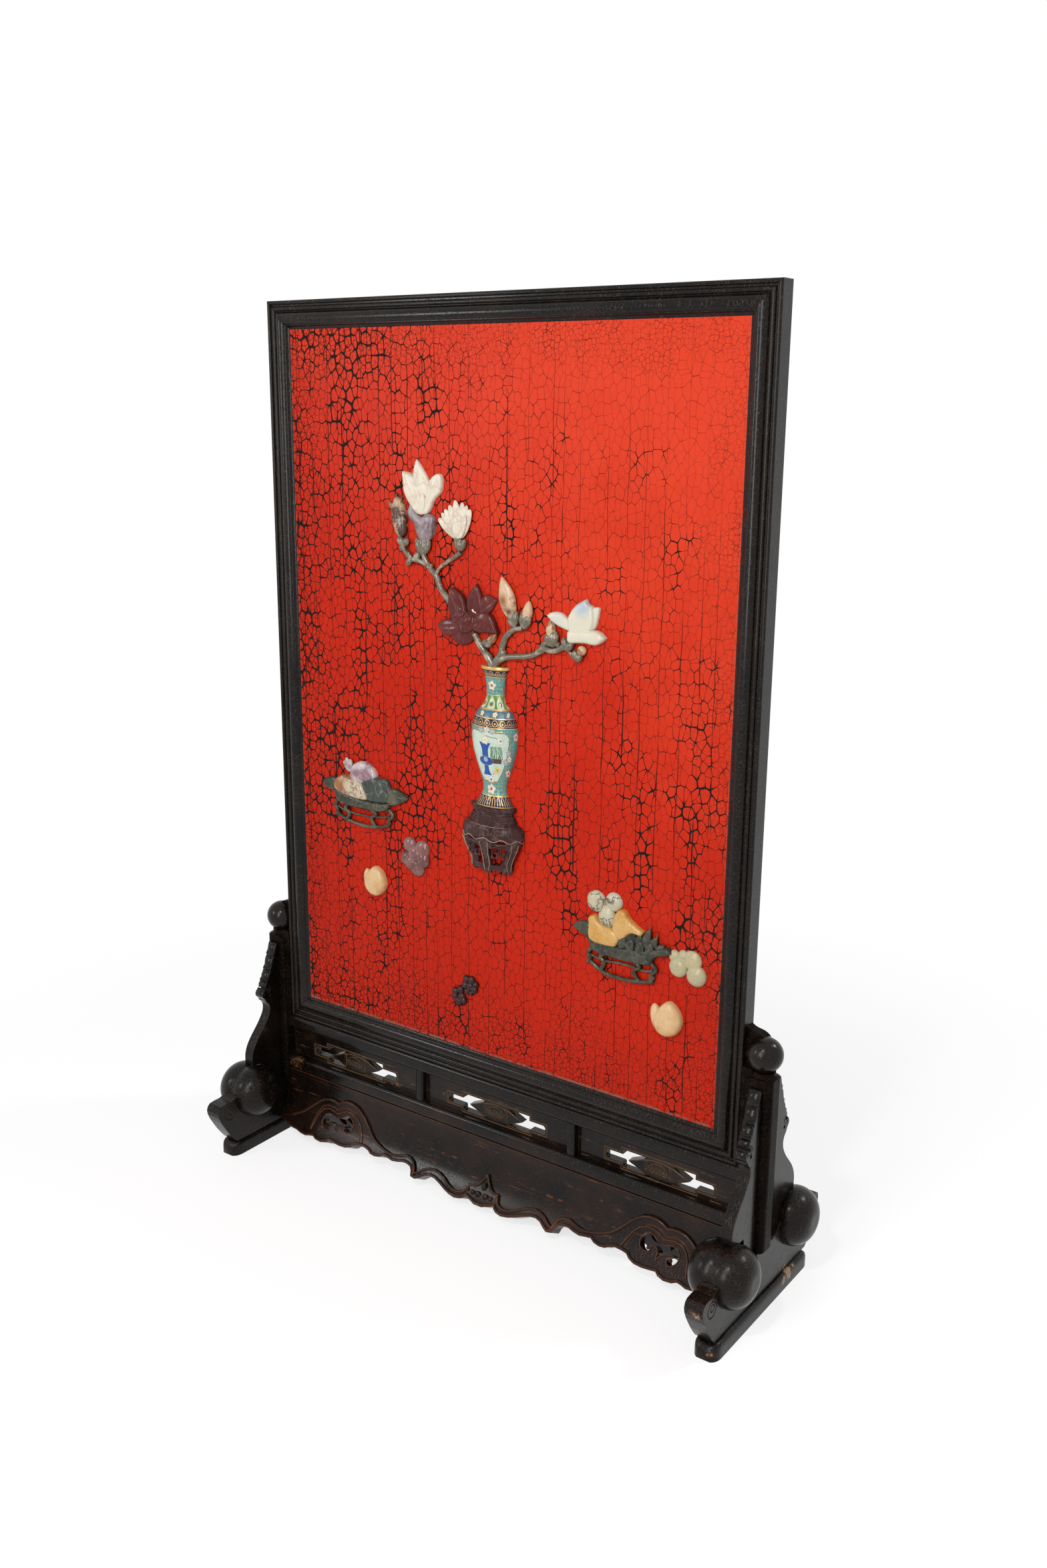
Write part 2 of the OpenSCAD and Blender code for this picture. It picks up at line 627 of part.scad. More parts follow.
magnolia_l = [[-174, 1236], [-163, 1235], [-154, 1234], [-154, 1245], [-148, 1256], [-137, 1245], [-127, 1231],
    [-121, 1223], [-116, 1231], [-108, 1236], [-99, 1236], [-96, 1225], [-96, 1212], [-101, 1202],
    [-110, 1196], [-116, 1187], [-119, 1178], [-127, 1171], [-139, 1169], [-150, 1173], [-160, 1183],
    [-170, 1196], [-174, 1210], [-174, 1223]];
brown_bud_o = [[-205, 1187], [-199, 1184], [-195, 1195], [-190, 1200], [-184, 1195], [-178, 1194], [-176, 1184],
    [-173, 1172], [-170, 1160], [-172, 1147], [-171, 1136], [-178, 1130], [-187, 1134], [-195, 1148],
    [-199, 1160], [-199, 1175]];
brown_cup_o = [[-189, 1139], [-184, 1133], [-178, 1130], [-171, 1136], [-164, 1131], [-169, 1124], [-178, 1121],
    [-186, 1126]];
grey_bud_o = [[-166, 1178], [-158, 1184], [-148, 1178], [-130, 1178], [-118, 1171], [-111, 1162], [-113, 1148],
    [-119, 1136], [-126, 1130], [-138, 1129], [-150, 1136], [-154, 1153], [-166, 1160], [-169, 1170]];
grey_cup_o = [[-152, 1136], [-145, 1133], [-138, 1136], [-126, 1136], [-120, 1131], [-121, 1121], [-127, 1113],
    [-137, 1110], [-147, 1117], [-152, 1126]];
daisy_o = [[-103, 1168], [-98, 1171], [-91, 1171], [-90, 1179], [-84, 1182], [-81, 1188], [-74, 1189],
    [-68, 1193], [-62, 1190], [-56, 1191], [-51, 1184], [-44, 1186], [-39, 1180], [-39, 1168], [-45, 1155],
    [-51, 1142], [-60, 1136], [-70, 1138], [-78, 1148], [-86, 1157], [-96, 1160]];
daisy_cup_o = [[-73, 1141], [-66, 1134], [-58, 1134], [-50, 1141], [-49, 1131], [-54, 1122], [-64, 1121],
    [-71, 1127]];

module left_magnolia() color("#efe9df") stone(magnolia_l, stone_t, [-136, 1205], 48, 5);

module daisy() color("#f2ece2") stone(daisy_o, stone_t - 1, [-66, 1160], 34, 4);

module brown_bud() color("#a58f78") bud(brown_bud_o, stone_t - 1, [-185, 1163], -8, 16, 5);

module grey_bud() color("#9a8d93") difference() {
    bud(grey_bud_o, stone_t - 1, [-138, 1150], 0, 28, 5);
    raised(magnolia_l, 30);
}

module left_calyxes() color("#8b8b76") {
    difference() {
        bud(brown_cup_o, stone_t - 1, [-177, 1129], 0, 13, 3);
        raised(brown_bud_o, 30);
    }
    difference() {
        bud(grey_cup_o, stone_t - 1, [-136, 1122], 0, 17, 4);
        raised(grey_bud_o, 30);
    }
    difference() {
        bud(daisy_cup_o, stone_t - 1, [-61, 1130], 0, 13, 4);
        raised(daisy_o, 30);
    }
    pebble(-149, 1106, 6.5, 4.5);
}

peony_rim = [
    [[-84, 1030], [-82, 1045], [-76, 1058], [-68, 1062], [-58, 1057], [-47, 1047], [-46, 1035], [-58, 1020],
        [-72, 1012], [-82, 1020]],
    [[-46, 1046], [-40, 1058], [-29, 1067], [-23, 1058], [-18, 1047], [-18, 1033], [-24, 1022], [-38, 1026],
        [-47, 1036]],
    [[-17, 1046], [-9, 1053], [0, 1052], [8, 1046], [2, 1040], [-4, 1029], [-13, 1024], [-18, 1028]],
    [[-30, 1016], [-18, 1029], [-4, 1028], [6, 1018], [14, 1001], [2, 998], [-14, 1001], [-34, 999]],
    [[-104, 1000], [-91, 1010], [-77, 1011], [-62, 1004], [-60, 992], [-72, 989], [-84, 986], [-97, 990]],
    [[-79, 981], [-69, 990], [-56, 997], [-40, 998], [-32, 988], [-41, 978], [-58, 975], [-76, 976]]];
peony_heart = [[-72, 1013], [-62, 1023], [-45, 1026], [-30, 1022], [-27, 1012], [-36, 998], [-51, 993], [-65, 1001]];
petal_mid = [[-65, 1038], [-32, 1045], [-8, 1040], [-12, 1014], [-82, 998], [-56, 985]];

// the peony is one carved stone: six outer petals of two heights around a domed heart
module peony() color("#5a2a2b") union() {
    for (i = [0:5]) stone(peony_rim[i], stone_t - 1 - i % 2 * 1.5, petal_mid[i], 24, 4.5);
    stone(peony_heart, stone_t + 3, [-50, 1009], 26, 7);
}

bud_r_o = [[17, 1072], [20, 1085], [27, 1080], [38, 1070], [46, 1058], [50, 1043], [48, 1033], [40, 1024],
    [31, 1028], [24, 1040], [18, 1056]];
cup_r_o = [[30, 1031], [40, 1029], [48, 1037], [54, 1036], [54, 1022], [47, 1013], [39, 1014], [31, 1021]];
bud_s_o = [[60, 1038], [65, 1048], [71, 1052], [75, 1043], [77, 1030], [70, 1025], [61, 1028]];
cup_s_o = [[55, 1030], [59, 1040], [65, 1034], [77, 1032], [75, 1022], [68, 1015], [58, 1013], [54, 1020]];
bud_m_o = [[103, 1010], [106, 1020], [111, 1026], [118, 1020], [120, 1010], [111, 1004]];
cup_m_o = [[100, 1006], [106, 1008], [113, 1008], [121, 1012], [126, 1008], [129, 995], [124, 988], [110, 986],
    [102, 992]];
magnolia_r = [[103, 1034], [114, 1040], [127, 1041], [135, 1037], [141, 1030], [147, 1045], [157, 1056],
    [174, 1063], [180, 1056], [188, 1054], [197, 1052], [195, 1038], [191, 1023], [199, 1020], [206, 1014],
    [210, 1008], [202, 1001], [190, 997], [177, 1000], [162, 999], [144, 997], [143, 1012], [132, 1018],
    [120, 1021], [110, 1027]];
cup_e_o = [[132, 992], [135, 1003], [144, 1010], [150, 1002], [157, 998], [150, 990], [140, 986]];
bud_e_o = [[158, 991], [164, 994], [174, 993], [175, 985], [171, 980], [162, 979]];
cup_e2_o = [[150, 980], [157, 989], [163, 984], [170, 981], [168, 975], [162, 970], [153, 971]];
bud_v_o = [[-10, 987], [0, 996], [9, 996], [7, 987], [0, 979], [-8, 979]];
cup_v_o = [[-16, 978], [-10, 984], [2, 984], [3, 978], [-4, 973], [-12, 973]];

module right_magnolia() color("#eee9de") stone(magnolia_r, stone_t, [160, 1022], 52, 5);

module right_buds() color("#b9a58c") {
    bud(bud_r_o, stone_t, [34, 1050], 165, 16, 6);
    bud(bud_s_o, stone_t - 1, [69, 1038], 0, 10, 4);
    difference() {
        bud(bud_m_o, stone_t - 2, [111, 1015], 0, 9, 3);
        raised(magnolia_r, 30);
    }
    bud(bud_e_o, stone_t - 2, [167, 987], 70, 8, 3);
    bud(bud_v_o, stone_t - 2, [0, 987], 60, 8, 3);
}

module right_calyxes() color("#84846f") {
    difference() {
        bud(cup_r_o, stone_t, [43, 1024], 0, 13, 4);
        raised(bud_r_o, 30);
    }
    difference() {
        bud(cup_s_o, stone_t - 1, [67, 1024], 0, 12, 4);
        raised(bud_s_o, 30);
        raised(cup_r_o, 30);
    }
    difference() {
        stone(cup_m_o, stone_t - 1, [115, 998], 14, 4);
        raised(bud_m_o, 30);
        raised(magnolia_r, 30);
    }
    difference() {
        stone(cup_e_o, stone_t - 2, [144, 997], 13, 3);
        raised(magnolia_r, 30);
    }
    difference() {
        stone(cup_e2_o, stone_t - 2, [161, 978], 11, 3);
        raised(bud_e_o, 30);
        raised(cup_e_o, 30);
    }
    difference() {
        stone(cup_v_o, stone_t - 2, [-6, 978], 11, 3);
        raised(bud_v_o, 30);
    }
}

left_stem = [[2, 946, 7], [-8, 962, 6], [-20, 972, 5.5], [-30, 986, 5], [-37, 996, 5]];
left_arm = [[-82, 1040, 6], [-92, 1050, 6], [-104, 1066, 5.5], [-112, 1082, 5], [-124, 1090, 5.2], [-134, 1104, 4.6],
    [-136, 1112, 4.4]];
left_twig = [[-112, 1082, 3.6], [-96, 1097, 3], [-76, 1109, 3], [-62, 1117, 3.4], [-60, 1123, 3.4]];
far_twig = [[-128, 1095, 4.4], [-146, 1097, 4], [-161, 1096, 5], [-168, 1106, 4], [-176, 1116, 4], [-178, 1124, 4]];
right_stem = [[8, 948, 7], [17, 962, 6], [23, 980, 4.6], [34, 1000, 4.4], [50, 1007, 4], [64, 1016, 4]];
right_arm = [[16, 958, 5], [36, 963, 4.6], [60, 966, 4.4], [82, 972, 4.4], [97, 981, 4.6], [116, 981, 4],
    [132, 989, 4.4], [142, 993, 4.4]];
end_twig = [[137, 990, 2.8], [142, 985, 2.8], [150, 978, 3], [158, 976, 3]];
cup_stem = [[44, 1006, 3.6], [44, 1016, 4]];

module left_branch() color("#9a9a86") difference() {
    union() {
        twig(left_arm);
        twig(left_twig);
        twig(far_twig);
    }
    for (o = [brown_cup_o, grey_cup_o, daisy_cup_o, peony_rim[0]]) raised(o, 30);
    pebble(-149, 1106, 6.5, 4.5);
}

module right_branch() color("#9a9a86") difference() {
    union() {
        twig(left_stem);
        twig(right_stem);
        twig(right_arm);
        twig(end_twig);
        twig(cup_stem);
    }
    for (o = [peony_rim[3], peony_rim[5], peony_heart, cup_r_o, cup_s_o, cup_m_o, magnolia_r, cup_e_o, cup_e2_o,
        cup_v_o]) raised(o, 30);
    box([-60, face_y - 40, 900], [60, 0, 946.4]);
}

/* ---- vase and its stand ---- */

vase_x = 4;
// radius and height, foot to lip
vase_profile = smooth_open([[34.5, 722], [35, 726], [31, 731], [27, 737], [23.5, 743], [22.5, 750], [24, 760],
    [27.5, 770], [31, 780], [34.5, 790], [37.5, 800], [40.5, 810], [42.5, 820], [43.6, 830], [44, 840],
    [43.4, 850], [40.8, 860], [35.5, 870], [27, 880], [20, 889], [17.2, 899], [17, 910], [18, 920],
    [20.5, 930], [25, 939]], 2);

module vase() color("#4fa7a4") translate([vase_x, face_y, 0]) scale([1, vase_t / 44, 1]) intersection() {
    union() {
        rotate_extrude(angle = 360) polygon(concat([[0, 722]], vase_profile, [[27, 941], [27.5, 943], [27, 946],
            [20, 946], [0, 946]]));
        translate([0, 0, 721.8]) cylinder(r = 36, h = 2.6);
    }
    box([-60, -60, 700], [60, 0, 960]);
}

// half-round stand: moulded top, bulging body on cabriole legs, base ring
stand_body = smooth_open([[42, 696], [50, 693], [57, 688], [60, 680], [60, 671], [57.5, 662], [54, 655]], 2);
leg_side = smooth([[44, 690], [56, 690], [60, 678], [59, 664], [54, 650], [46, 638], [41, 628], [42, 618],
    [40, 612], [32, 613], [31, 622], [34, 636], [40, 648], [47, 660], [48, 675]], 2);

module vase_stand() color("#5b4744") translate([vase_x - 2, face_y, 0]) scale([1, (vase_t + 4) / 60, 1])
    intersection() {
        union() {
            translate([0, 0, 714]) cylinder(r = 43, h = 7.8);
            translate([0, 0, 706]) cylinder(r = 38, h = 9);
            translate([0, 0, 701]) cylinder(r = 42, h = 5.4);
            translate([0, 0, 695]) cylinder(r = 45, h = 6.4);
            difference() {
                rotate_extrude() polygon(concat([[44, 696]], stand_body, [[46, 655], [44, 675]]));
                for (a = [-118, -62, 0, 180]) rotate([0, 0, a]) translate([38, -13, 640]) cube([40, 26, 30]);
            }
            cylinder_slab(45, 688, 8);
            for (a = [-150, -90, -30]) rotate([0, 0, a]) translate([0, 8, 0]) rotate([90, 0, 0])
                linear_extrude(16) polygon(leg_side);
            difference() {
                translate([0, 0, 617]) cylinder(r = 40, h = 8);
                translate([0, 0, 600]) cylinder(r = 33, h = 40);
            }
            difference() {
                translate([0, 0, 660]) cylinder(r = 55, h = 4);
                translate([0, 0, 600]) cylinder(r = 49, h = 90);
            }
        }
        box([-70, -70, 600], [70, 0, 721.8]);
    }

module cylinder_slab(r, z, h) translate([0, 0, z]) cylinder(r = r, h = h);

/* ---- trays and fruits ---- */

tray_l_o = [[-367, 700], [-360, 708], [-344, 714], [-326, 716], [-300, 713], [-262, 708], [-236, 712],
    [-213, 713], [-198, 713], [-186, 708], [-176, 700], [-186, 693], [-201, 686], [-218, 681], [-225, 673],
    [-236, 668.5], [-280, 667.5], [-318, 668.5], [-330, 673], [-335, 683], [-350, 690], [-362, 694]];
agate_o = [[-338, 700], [-335, 711], [-323, 720], [-306, 722], [-288, 718], [-273, 709], [-265, 697],
    [-262, 687], [-268, 684], [-290, 684], [-314, 687], [-333, 692]];
green_o = [[-276, 714], [-266, 722], [-253, 726], [-238, 727], [-220, 727], [-216, 719], [-213, 706],
    [-215, 694], [-222, 685], [-243, 682], [-262, 683], [-268, 697]];
pome_o = [[-315, 733], [-314, 745], [-307, 751], [-299, 747], [-290, 745], [-278, 750], [-263, 748],
    [-250, 741], [-243, 730], [-250, 718], [-273, 712], [-298, 714], [-310, 720], [-307, 729]];
ring_l_o = [[-335, 672], [-337, 662], [-332, 655], [-331, 648], [-318, 641], [-298, 637], [-268, 635],
    [-243, 637], [-224, 642], [-214, 649], [-217, 654], [-210, 661], [-211, 670], [-222, 676], [-270, 676],
    [-320, 676]];
ring_l_holes = [[[-325, 658], [-322, 665], [-312, 665.5], [-309, 658]],
    [[-299, 660], [-296, 663.5], [-288, 664], [-285, 659]],
    [[-280, 660], [-277, 664], [-268, 664], [-264, 659]],
    [[-240, 658], [-237, 664], [-228, 664.5], [-225, 658]],
    [[-326, 649], [-322, 652.5], [-313, 653], [-311, 646], [-318, 645.5]],
    [[-300, 644], [-301, 652], [-280, 654.5], [-262, 654.5], [-252, 652], [-250, 645], [-262, 642], [-284, 642]],
    [[-236, 646], [-235, 652], [-229, 651.5], [-226, 648]]];

module left_tray() color("#41473c") difference() {
    stone(tray_l_o, stone_t + 2, [-271, 682], 95, 7);
    raised(agate_o, 30);
    raised(green_o, 30);
}

module left_tray_stand() color("#474b40") difference() {
    stone(ring_l_o, stone_t - 1, [-273, 655], 66, 4);
    raised(tray_l_o, 30);
    for (h = ring_l_holes) raised(h, 30, 2);
}

module agate_fruit() color("#cdb291") stone(agate_o, stone_t + 3, [-300, 702], 38, 8);

module green_fruit() color("#4d564d") difference() {
    stone(green_o, stone_t + 1, [-242, 704], 34, 6);
    raised(agate_o, 30);
}

module pomegranate() color("#b9a9ab") difference() {
    stone(pome_o, stone_t, [-278, 731], 38, 6);
    raised(agate_o, 30);
    raised(green_o, 30);
    raised(tray_l_o, 30);
}

module grapes() color("#7a4f50") union() {
    pebble(-174, 621, 15, 8);
    pebble(-147, 617, 18, 8);
    pebble(-178, 595, 17, 9);
    pebble(-160, 586, 17, 9);
    pebble(-150, 604, 19, 12);
}

peach_l_o = [[-278, 541], [-277, 551], [-269, 557], [-262, 560], [-254, 567], [-244, 567], [-235, 561],
    [-229, 550], [-227, 538], [-231, 526], [-240, 518], [-251, 515], [-262, 518], [-272, 527]];

// a peach: its cleft is a shallow scoop between the two cheeks
module peach(pts, c, k) color("#e0b98e") difference() {
    stone(pts, stone_t + 3, c, 27, 8);
    translate([k[0], face_y - stone_t - 4, k[1]]) rotate([0, 32, 0]) cylinder(r = 3, h = 26);
}

module left_peach() peach(peach_l_o, [-252, 541], [-272, 545]);

module dark_berries() color("#3c2a2c") union() {
    for (p = [[-54, 407, 7], [-43, 408, 7], [-34, 402, 6], [-57, 396, 7], [-46, 396, 8], [-37, 392, 7],
        [-52, 386, 6], [-43, 385, 5], [-66, 385, 7], [-77, 380, 7], [-64, 373, 8], [-78, 371, 7],
        [-70, 363, 8], [-59, 367, 6]]) pebble(p[0], p[1], p[2] + 1, 7);
}

tray_r_o = [[161, 551], [167, 559], [178, 564], [190, 563], [197, 556], [205, 549], [240, 545], [285, 548],
    [299, 554], [308, 565], [317, 560], [332, 554], [337, 547], [330, 541], [317, 538], [307, 533], [305, 524],
    [299, 518], [250, 516], [211, 517], [199, 521], [193, 530], [188, 538], [174, 543]];
orange_a_o = [[191, 573], [197, 577], [203, 578], [207, 571], [214, 566], [224, 563], [234, 562], [242, 557],
    [246, 551], [249, 547], [243, 541], [240, 536], [222, 534], [202, 535], [193, 540], [192, 550], [192, 562]];
orange_b_o = [[234, 560], [235, 580], [240, 592], [248, 597], [256, 595], [261, 585], [272, 577], [285, 571],
    [291, 565], [284, 561], [268, 564], [259, 557], [253, 548], [247, 551]];
spray_o = [[246, 547], [253, 549], [258, 556], [263, 563], [272, 566], [282, 561], [290, 565], [298, 573],
    [303, 566], [312, 563], [322, 555], [314, 547], [302, 541], [284, 544], [266, 540], [252, 540]];
ring_r_o = [[195, 522], [189, 512], [191, 502], [198, 496], [216, 488], [246, 485], [279, 486], [301, 493],
    [307, 501], [310, 512], [304, 520], [280, 526], [220, 526]];
ring_r_holes = [[[198, 510], [202, 515], [214, 516], [217, 510]],
    [[228, 514], [231, 516.5], [240, 516.5], [241, 514]],
    [[246, 513.5], [249, 516], [258, 516], [260, 513]],
    [[285, 510], [287, 515], [296, 513], [298, 508]],
    [[204, 498], [207, 503], [214, 504], [216, 497]],
    [[224, 494], [223, 503], [245, 506], [266, 506], [274, 503], [272, 494], [250, 492]],
    [[284, 497], [285, 503], [294, 500], [290, 497]]];

module right_tray() color("#363b36") difference() {
    stone(tray_r_o, stone_t + 2, [248, 532], 90, 7);
    raised(orange_a_o, 30);
    raised(spray_o, 30);
    raised(orange_b_o, 30);
}

module right_tray_stand() color("#3f4540") difference() {
    stone(ring_r_o, stone_t - 1, [249, 505], 62, 4);
    raised(tray_r_o, 30);
    for (h = ring_r_holes) raised(h, 30, 2);
}

module leaf_spray() color("#2f3531") difference() {
    stone(spray_o, stone_t + 4, [280, 553], 42, 6);
    raised(orange_a_o, 30);
}

module orange_fruits() color("#dfa050") {
    stone(orange_a_o, stone_t + 3, [216, 552], 32, 7);
    difference() {
        stone(orange_b_o, stone_t + 1, [256, 575], 34, 6);
        raised(spray_o, 30);
    }
}

spot_c_o = [[207, 588], [212, 594], [222, 597], [231, 593], [236, 584], [235, 573], [229, 565], [219, 563],
    [210, 568], [206, 577]];

module spotted_fruits() color("#cfc3a8") difference() {
    union() {
        pebble(200, 600, 17.5, 9);
        pebble(232, 605, 15, 9);
        stone(spot_c_o, stone_t, [220, 580], 17, 6);
    }
    raised(orange_a_o, 30);
    raised(orange_b_o, 30);
}

back_fruit_o = [[338, 545], [345, 550], [352, 554], [368, 556], [379, 557], [386, 552], [388, 543], [386, 534],
    [366, 528], [346, 532]];

module pale_fruits() color("#c8bd97") difference() {
    union() {
        stone(back_fruit_o, stone_t - 2, [364, 544], 26, 4);
        pebble(348, 527, 15.5, 10);
        pebble(334, 536, 10.5, 6);
        pebble(379, 520, 16.5, 10);
    }
    raised(tray_r_o, 30);
}

peach_r_o = [[303, 441], [306, 451], [314, 457], [322, 459], [330, 466], [339, 468], [348, 462], [356, 451],
    [359, 438], [355, 425], [346, 416], [332, 411], [317, 416], [307, 427]];

module right_peach() peach(peach_r_o, [332, 438], [315, 447]);

/* ---- one call for each node ---- */

left_foot();
right_foot();
left_front_drum();
left_back_drum();
right_front_drum();
right_back_drum();
left_runner();
right_runner();
left_post();
right_post();
left_finial();
right_finial();
left_front_spandrel();
left_back_spandrel();
right_front_spandrel();
right_back_spandrel();
upper_rail();
lower_rail();
left_muntin();
right_muntin();
left_openwork();
middle_openwork();
right_openwork();
front_apron();
back_apron();
frame_top_rail();
frame_bottom_rail();
frame_left_stile();
frame_right_stile();
lacquer_panel();
panel_battens();
placed(0, 900) vase();
placed(0, 900) vase_stand();
placed(0, 900) left_branch();
placed(0, 900) right_branch();
placed(0, 900) left_magnolia();
placed(0, 900) daisy();
placed(0, 900) brown_bud();
placed(0, 900) grey_bud();
placed(0, 900) left_calyxes();
placed(0, 900) peony();
placed(0, 900) right_magnolia();
placed(0, 900) right_buds();
placed(0, 900) right_calyxes();
placed(-271, 690) left_tray();
placed(-271, 690) left_tray_stand();
placed(-271, 690) agate_fruit();
placed(-271, 690) green_fruit();
placed(-271, 690) pomegranate();
placed(-163, 604) grapes();
placed(-252, 541) left_peach();
placed(-58, 385) dark_berries();
placed(300, 540) right_tray();
placed(300, 540) right_tray_stand();
placed(300, 540) leaf_spray();
placed(300, 540) orange_fruits();
placed(300, 540) spotted_fruits();
placed(300, 540) pale_fruits();
placed(330, 438) right_peach();
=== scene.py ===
"""Looks of a lacquered floor screen with hardstone relief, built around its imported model.

Everything is in metres in the frame of the model: X right along the panel, Y to the back, Z up.
"""

import logging
import math
from collections import Counter
from dataclasses import dataclass, field
from enum import Enum
from typing import Any, Callable, Iterable, Optional, Sequence

import bmesh
import bpy
from mathutils import Matrix, Vector, noise
from mathutils.geometry import delaunay_2d_cdt

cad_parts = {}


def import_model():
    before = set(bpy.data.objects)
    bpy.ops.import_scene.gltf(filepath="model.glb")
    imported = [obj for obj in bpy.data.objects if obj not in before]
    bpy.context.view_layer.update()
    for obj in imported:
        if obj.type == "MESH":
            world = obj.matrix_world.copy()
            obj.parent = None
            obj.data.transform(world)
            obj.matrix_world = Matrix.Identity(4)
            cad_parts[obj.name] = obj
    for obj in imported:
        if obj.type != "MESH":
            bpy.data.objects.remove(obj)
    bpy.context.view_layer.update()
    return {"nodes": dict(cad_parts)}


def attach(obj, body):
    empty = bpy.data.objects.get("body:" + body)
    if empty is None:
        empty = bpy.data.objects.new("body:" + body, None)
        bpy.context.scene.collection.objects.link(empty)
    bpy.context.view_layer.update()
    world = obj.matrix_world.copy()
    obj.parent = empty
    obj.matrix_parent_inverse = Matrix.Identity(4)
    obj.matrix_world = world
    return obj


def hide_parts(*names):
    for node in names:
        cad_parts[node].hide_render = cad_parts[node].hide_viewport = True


LOG = logging.getLogger("floor_screen")
MM = 0.001
Colour = tuple[float, float, float]
Place = tuple[float, float, float]
Pair = tuple[float, float]
Outline = Sequence[Pair]


# ---------------------------------------------------------------- shader expressions


def _joined(operation: str, turned: bool = False) -> Callable[["Signal", Any], "Signal"]:
    """Makes a method that joins a signal with another signal or number.

    Args:
        operation: the Math node's operation.
        turned: whether the other value comes first.

    Returns:
        The method.
    """

    def method(self: "Signal", other: Any) -> "Signal":
        """Self and other, joined by one Math node."""
        return self.math(operation, other, self) if turned else self.math(operation, self, other)

    return method


class Signal:
    """A shader output that takes part in Python arithmetic."""

    __add__, __radd__ = _joined("ADD"), _joined("ADD", True)
    __sub__, __rsub__ = _joined("SUBTRACT"), _joined("SUBTRACT", True)
    __mul__, __rmul__ = _joined("MULTIPLY"), _joined("MULTIPLY", True)
    __truediv__, __rtruediv__ = _joined("DIVIDE"), _joined("DIVIDE", True)
    __pow__, __rpow__ = _joined("POWER"), _joined("POWER", True)
    most, arctan = _joined("MAXIMUM"), _joined("ARCTAN2")

    def __init__(self, paint: "Paint", socket: bpy.types.NodeSocket) -> None:
        """Wraps one output socket of a material under construction."""
        self.paint = paint
        self.socket = socket

    def math(self, operation: str, *values: Any, clamp: bool = False) -> "Signal":
        """Adds one Math node.

        Args:
            operation: the Math node's operation.
            values: its operands in order.
            clamp: whether the result is kept from 0 to 1.

        Returns:
            The node's result.
        """
        settings = {"operation": operation, "use_clamp": clamp}
        return self.paint.signal("ShaderNodeMath", settings, dict(enumerate(values)))

    def __abs__(self) -> "Signal":
        """Size of self."""
        return self.math("ABSOLUTE", self)

    def clamp(self) -> "Signal":
        """Self kept from 0 to 1."""
        return self.math("ADD", self, 0.0, clamp=True)

    def wave(self, period: float, phase: float) -> "Signal":
        """A sine of self from 0 to 1 with the given period."""
        return self.math("SINE", self * (2 * math.pi / period) + phase) * 0.5 + 0.5

    def fold(self, period: float) -> "Signal":
        """Distance of self from the nearest multiple of the period."""
        return self.math("PINGPONG", self, period / 2)

    def step(self, low: float, high: float) -> "Signal":
        """Smooth rise from 0 at low to 1 at high; it falls where low is above high."""
        ends = {3: 1.0, 4: 0.0} if low > high else {3: 0.0, 4: 1.0}
        return self.paint.signal(
            "ShaderNodeMapRange", {"interpolation_type": "SMOOTHSTEP", "clamp": True},
            {0: self, 1: min(low, high), 2: max(low, high), **ends},
        )

    def scale(self, low: float, high: float) -> "Signal":
        """Self, from 0 to 1, spread over low to high."""
        return self * (high - low) + low

    def band(self, low: float, high: float, soft: float) -> "Signal":
        """1 between low and high and 0 outside, with a soft edge on each side."""
        return self.step(low - soft, low + soft) * self.step(high + soft, high - soft)


def distance(*sides: Signal) -> Signal:
    """Length of the way that has these sides.

    Args:
        sides: the sides, at right angles to each other.

    Returns:
        The length.
    """
    total = sides[0] * sides[0]
    for side in sides[1:]:
        total = total + side * side
    return total ** 0.5


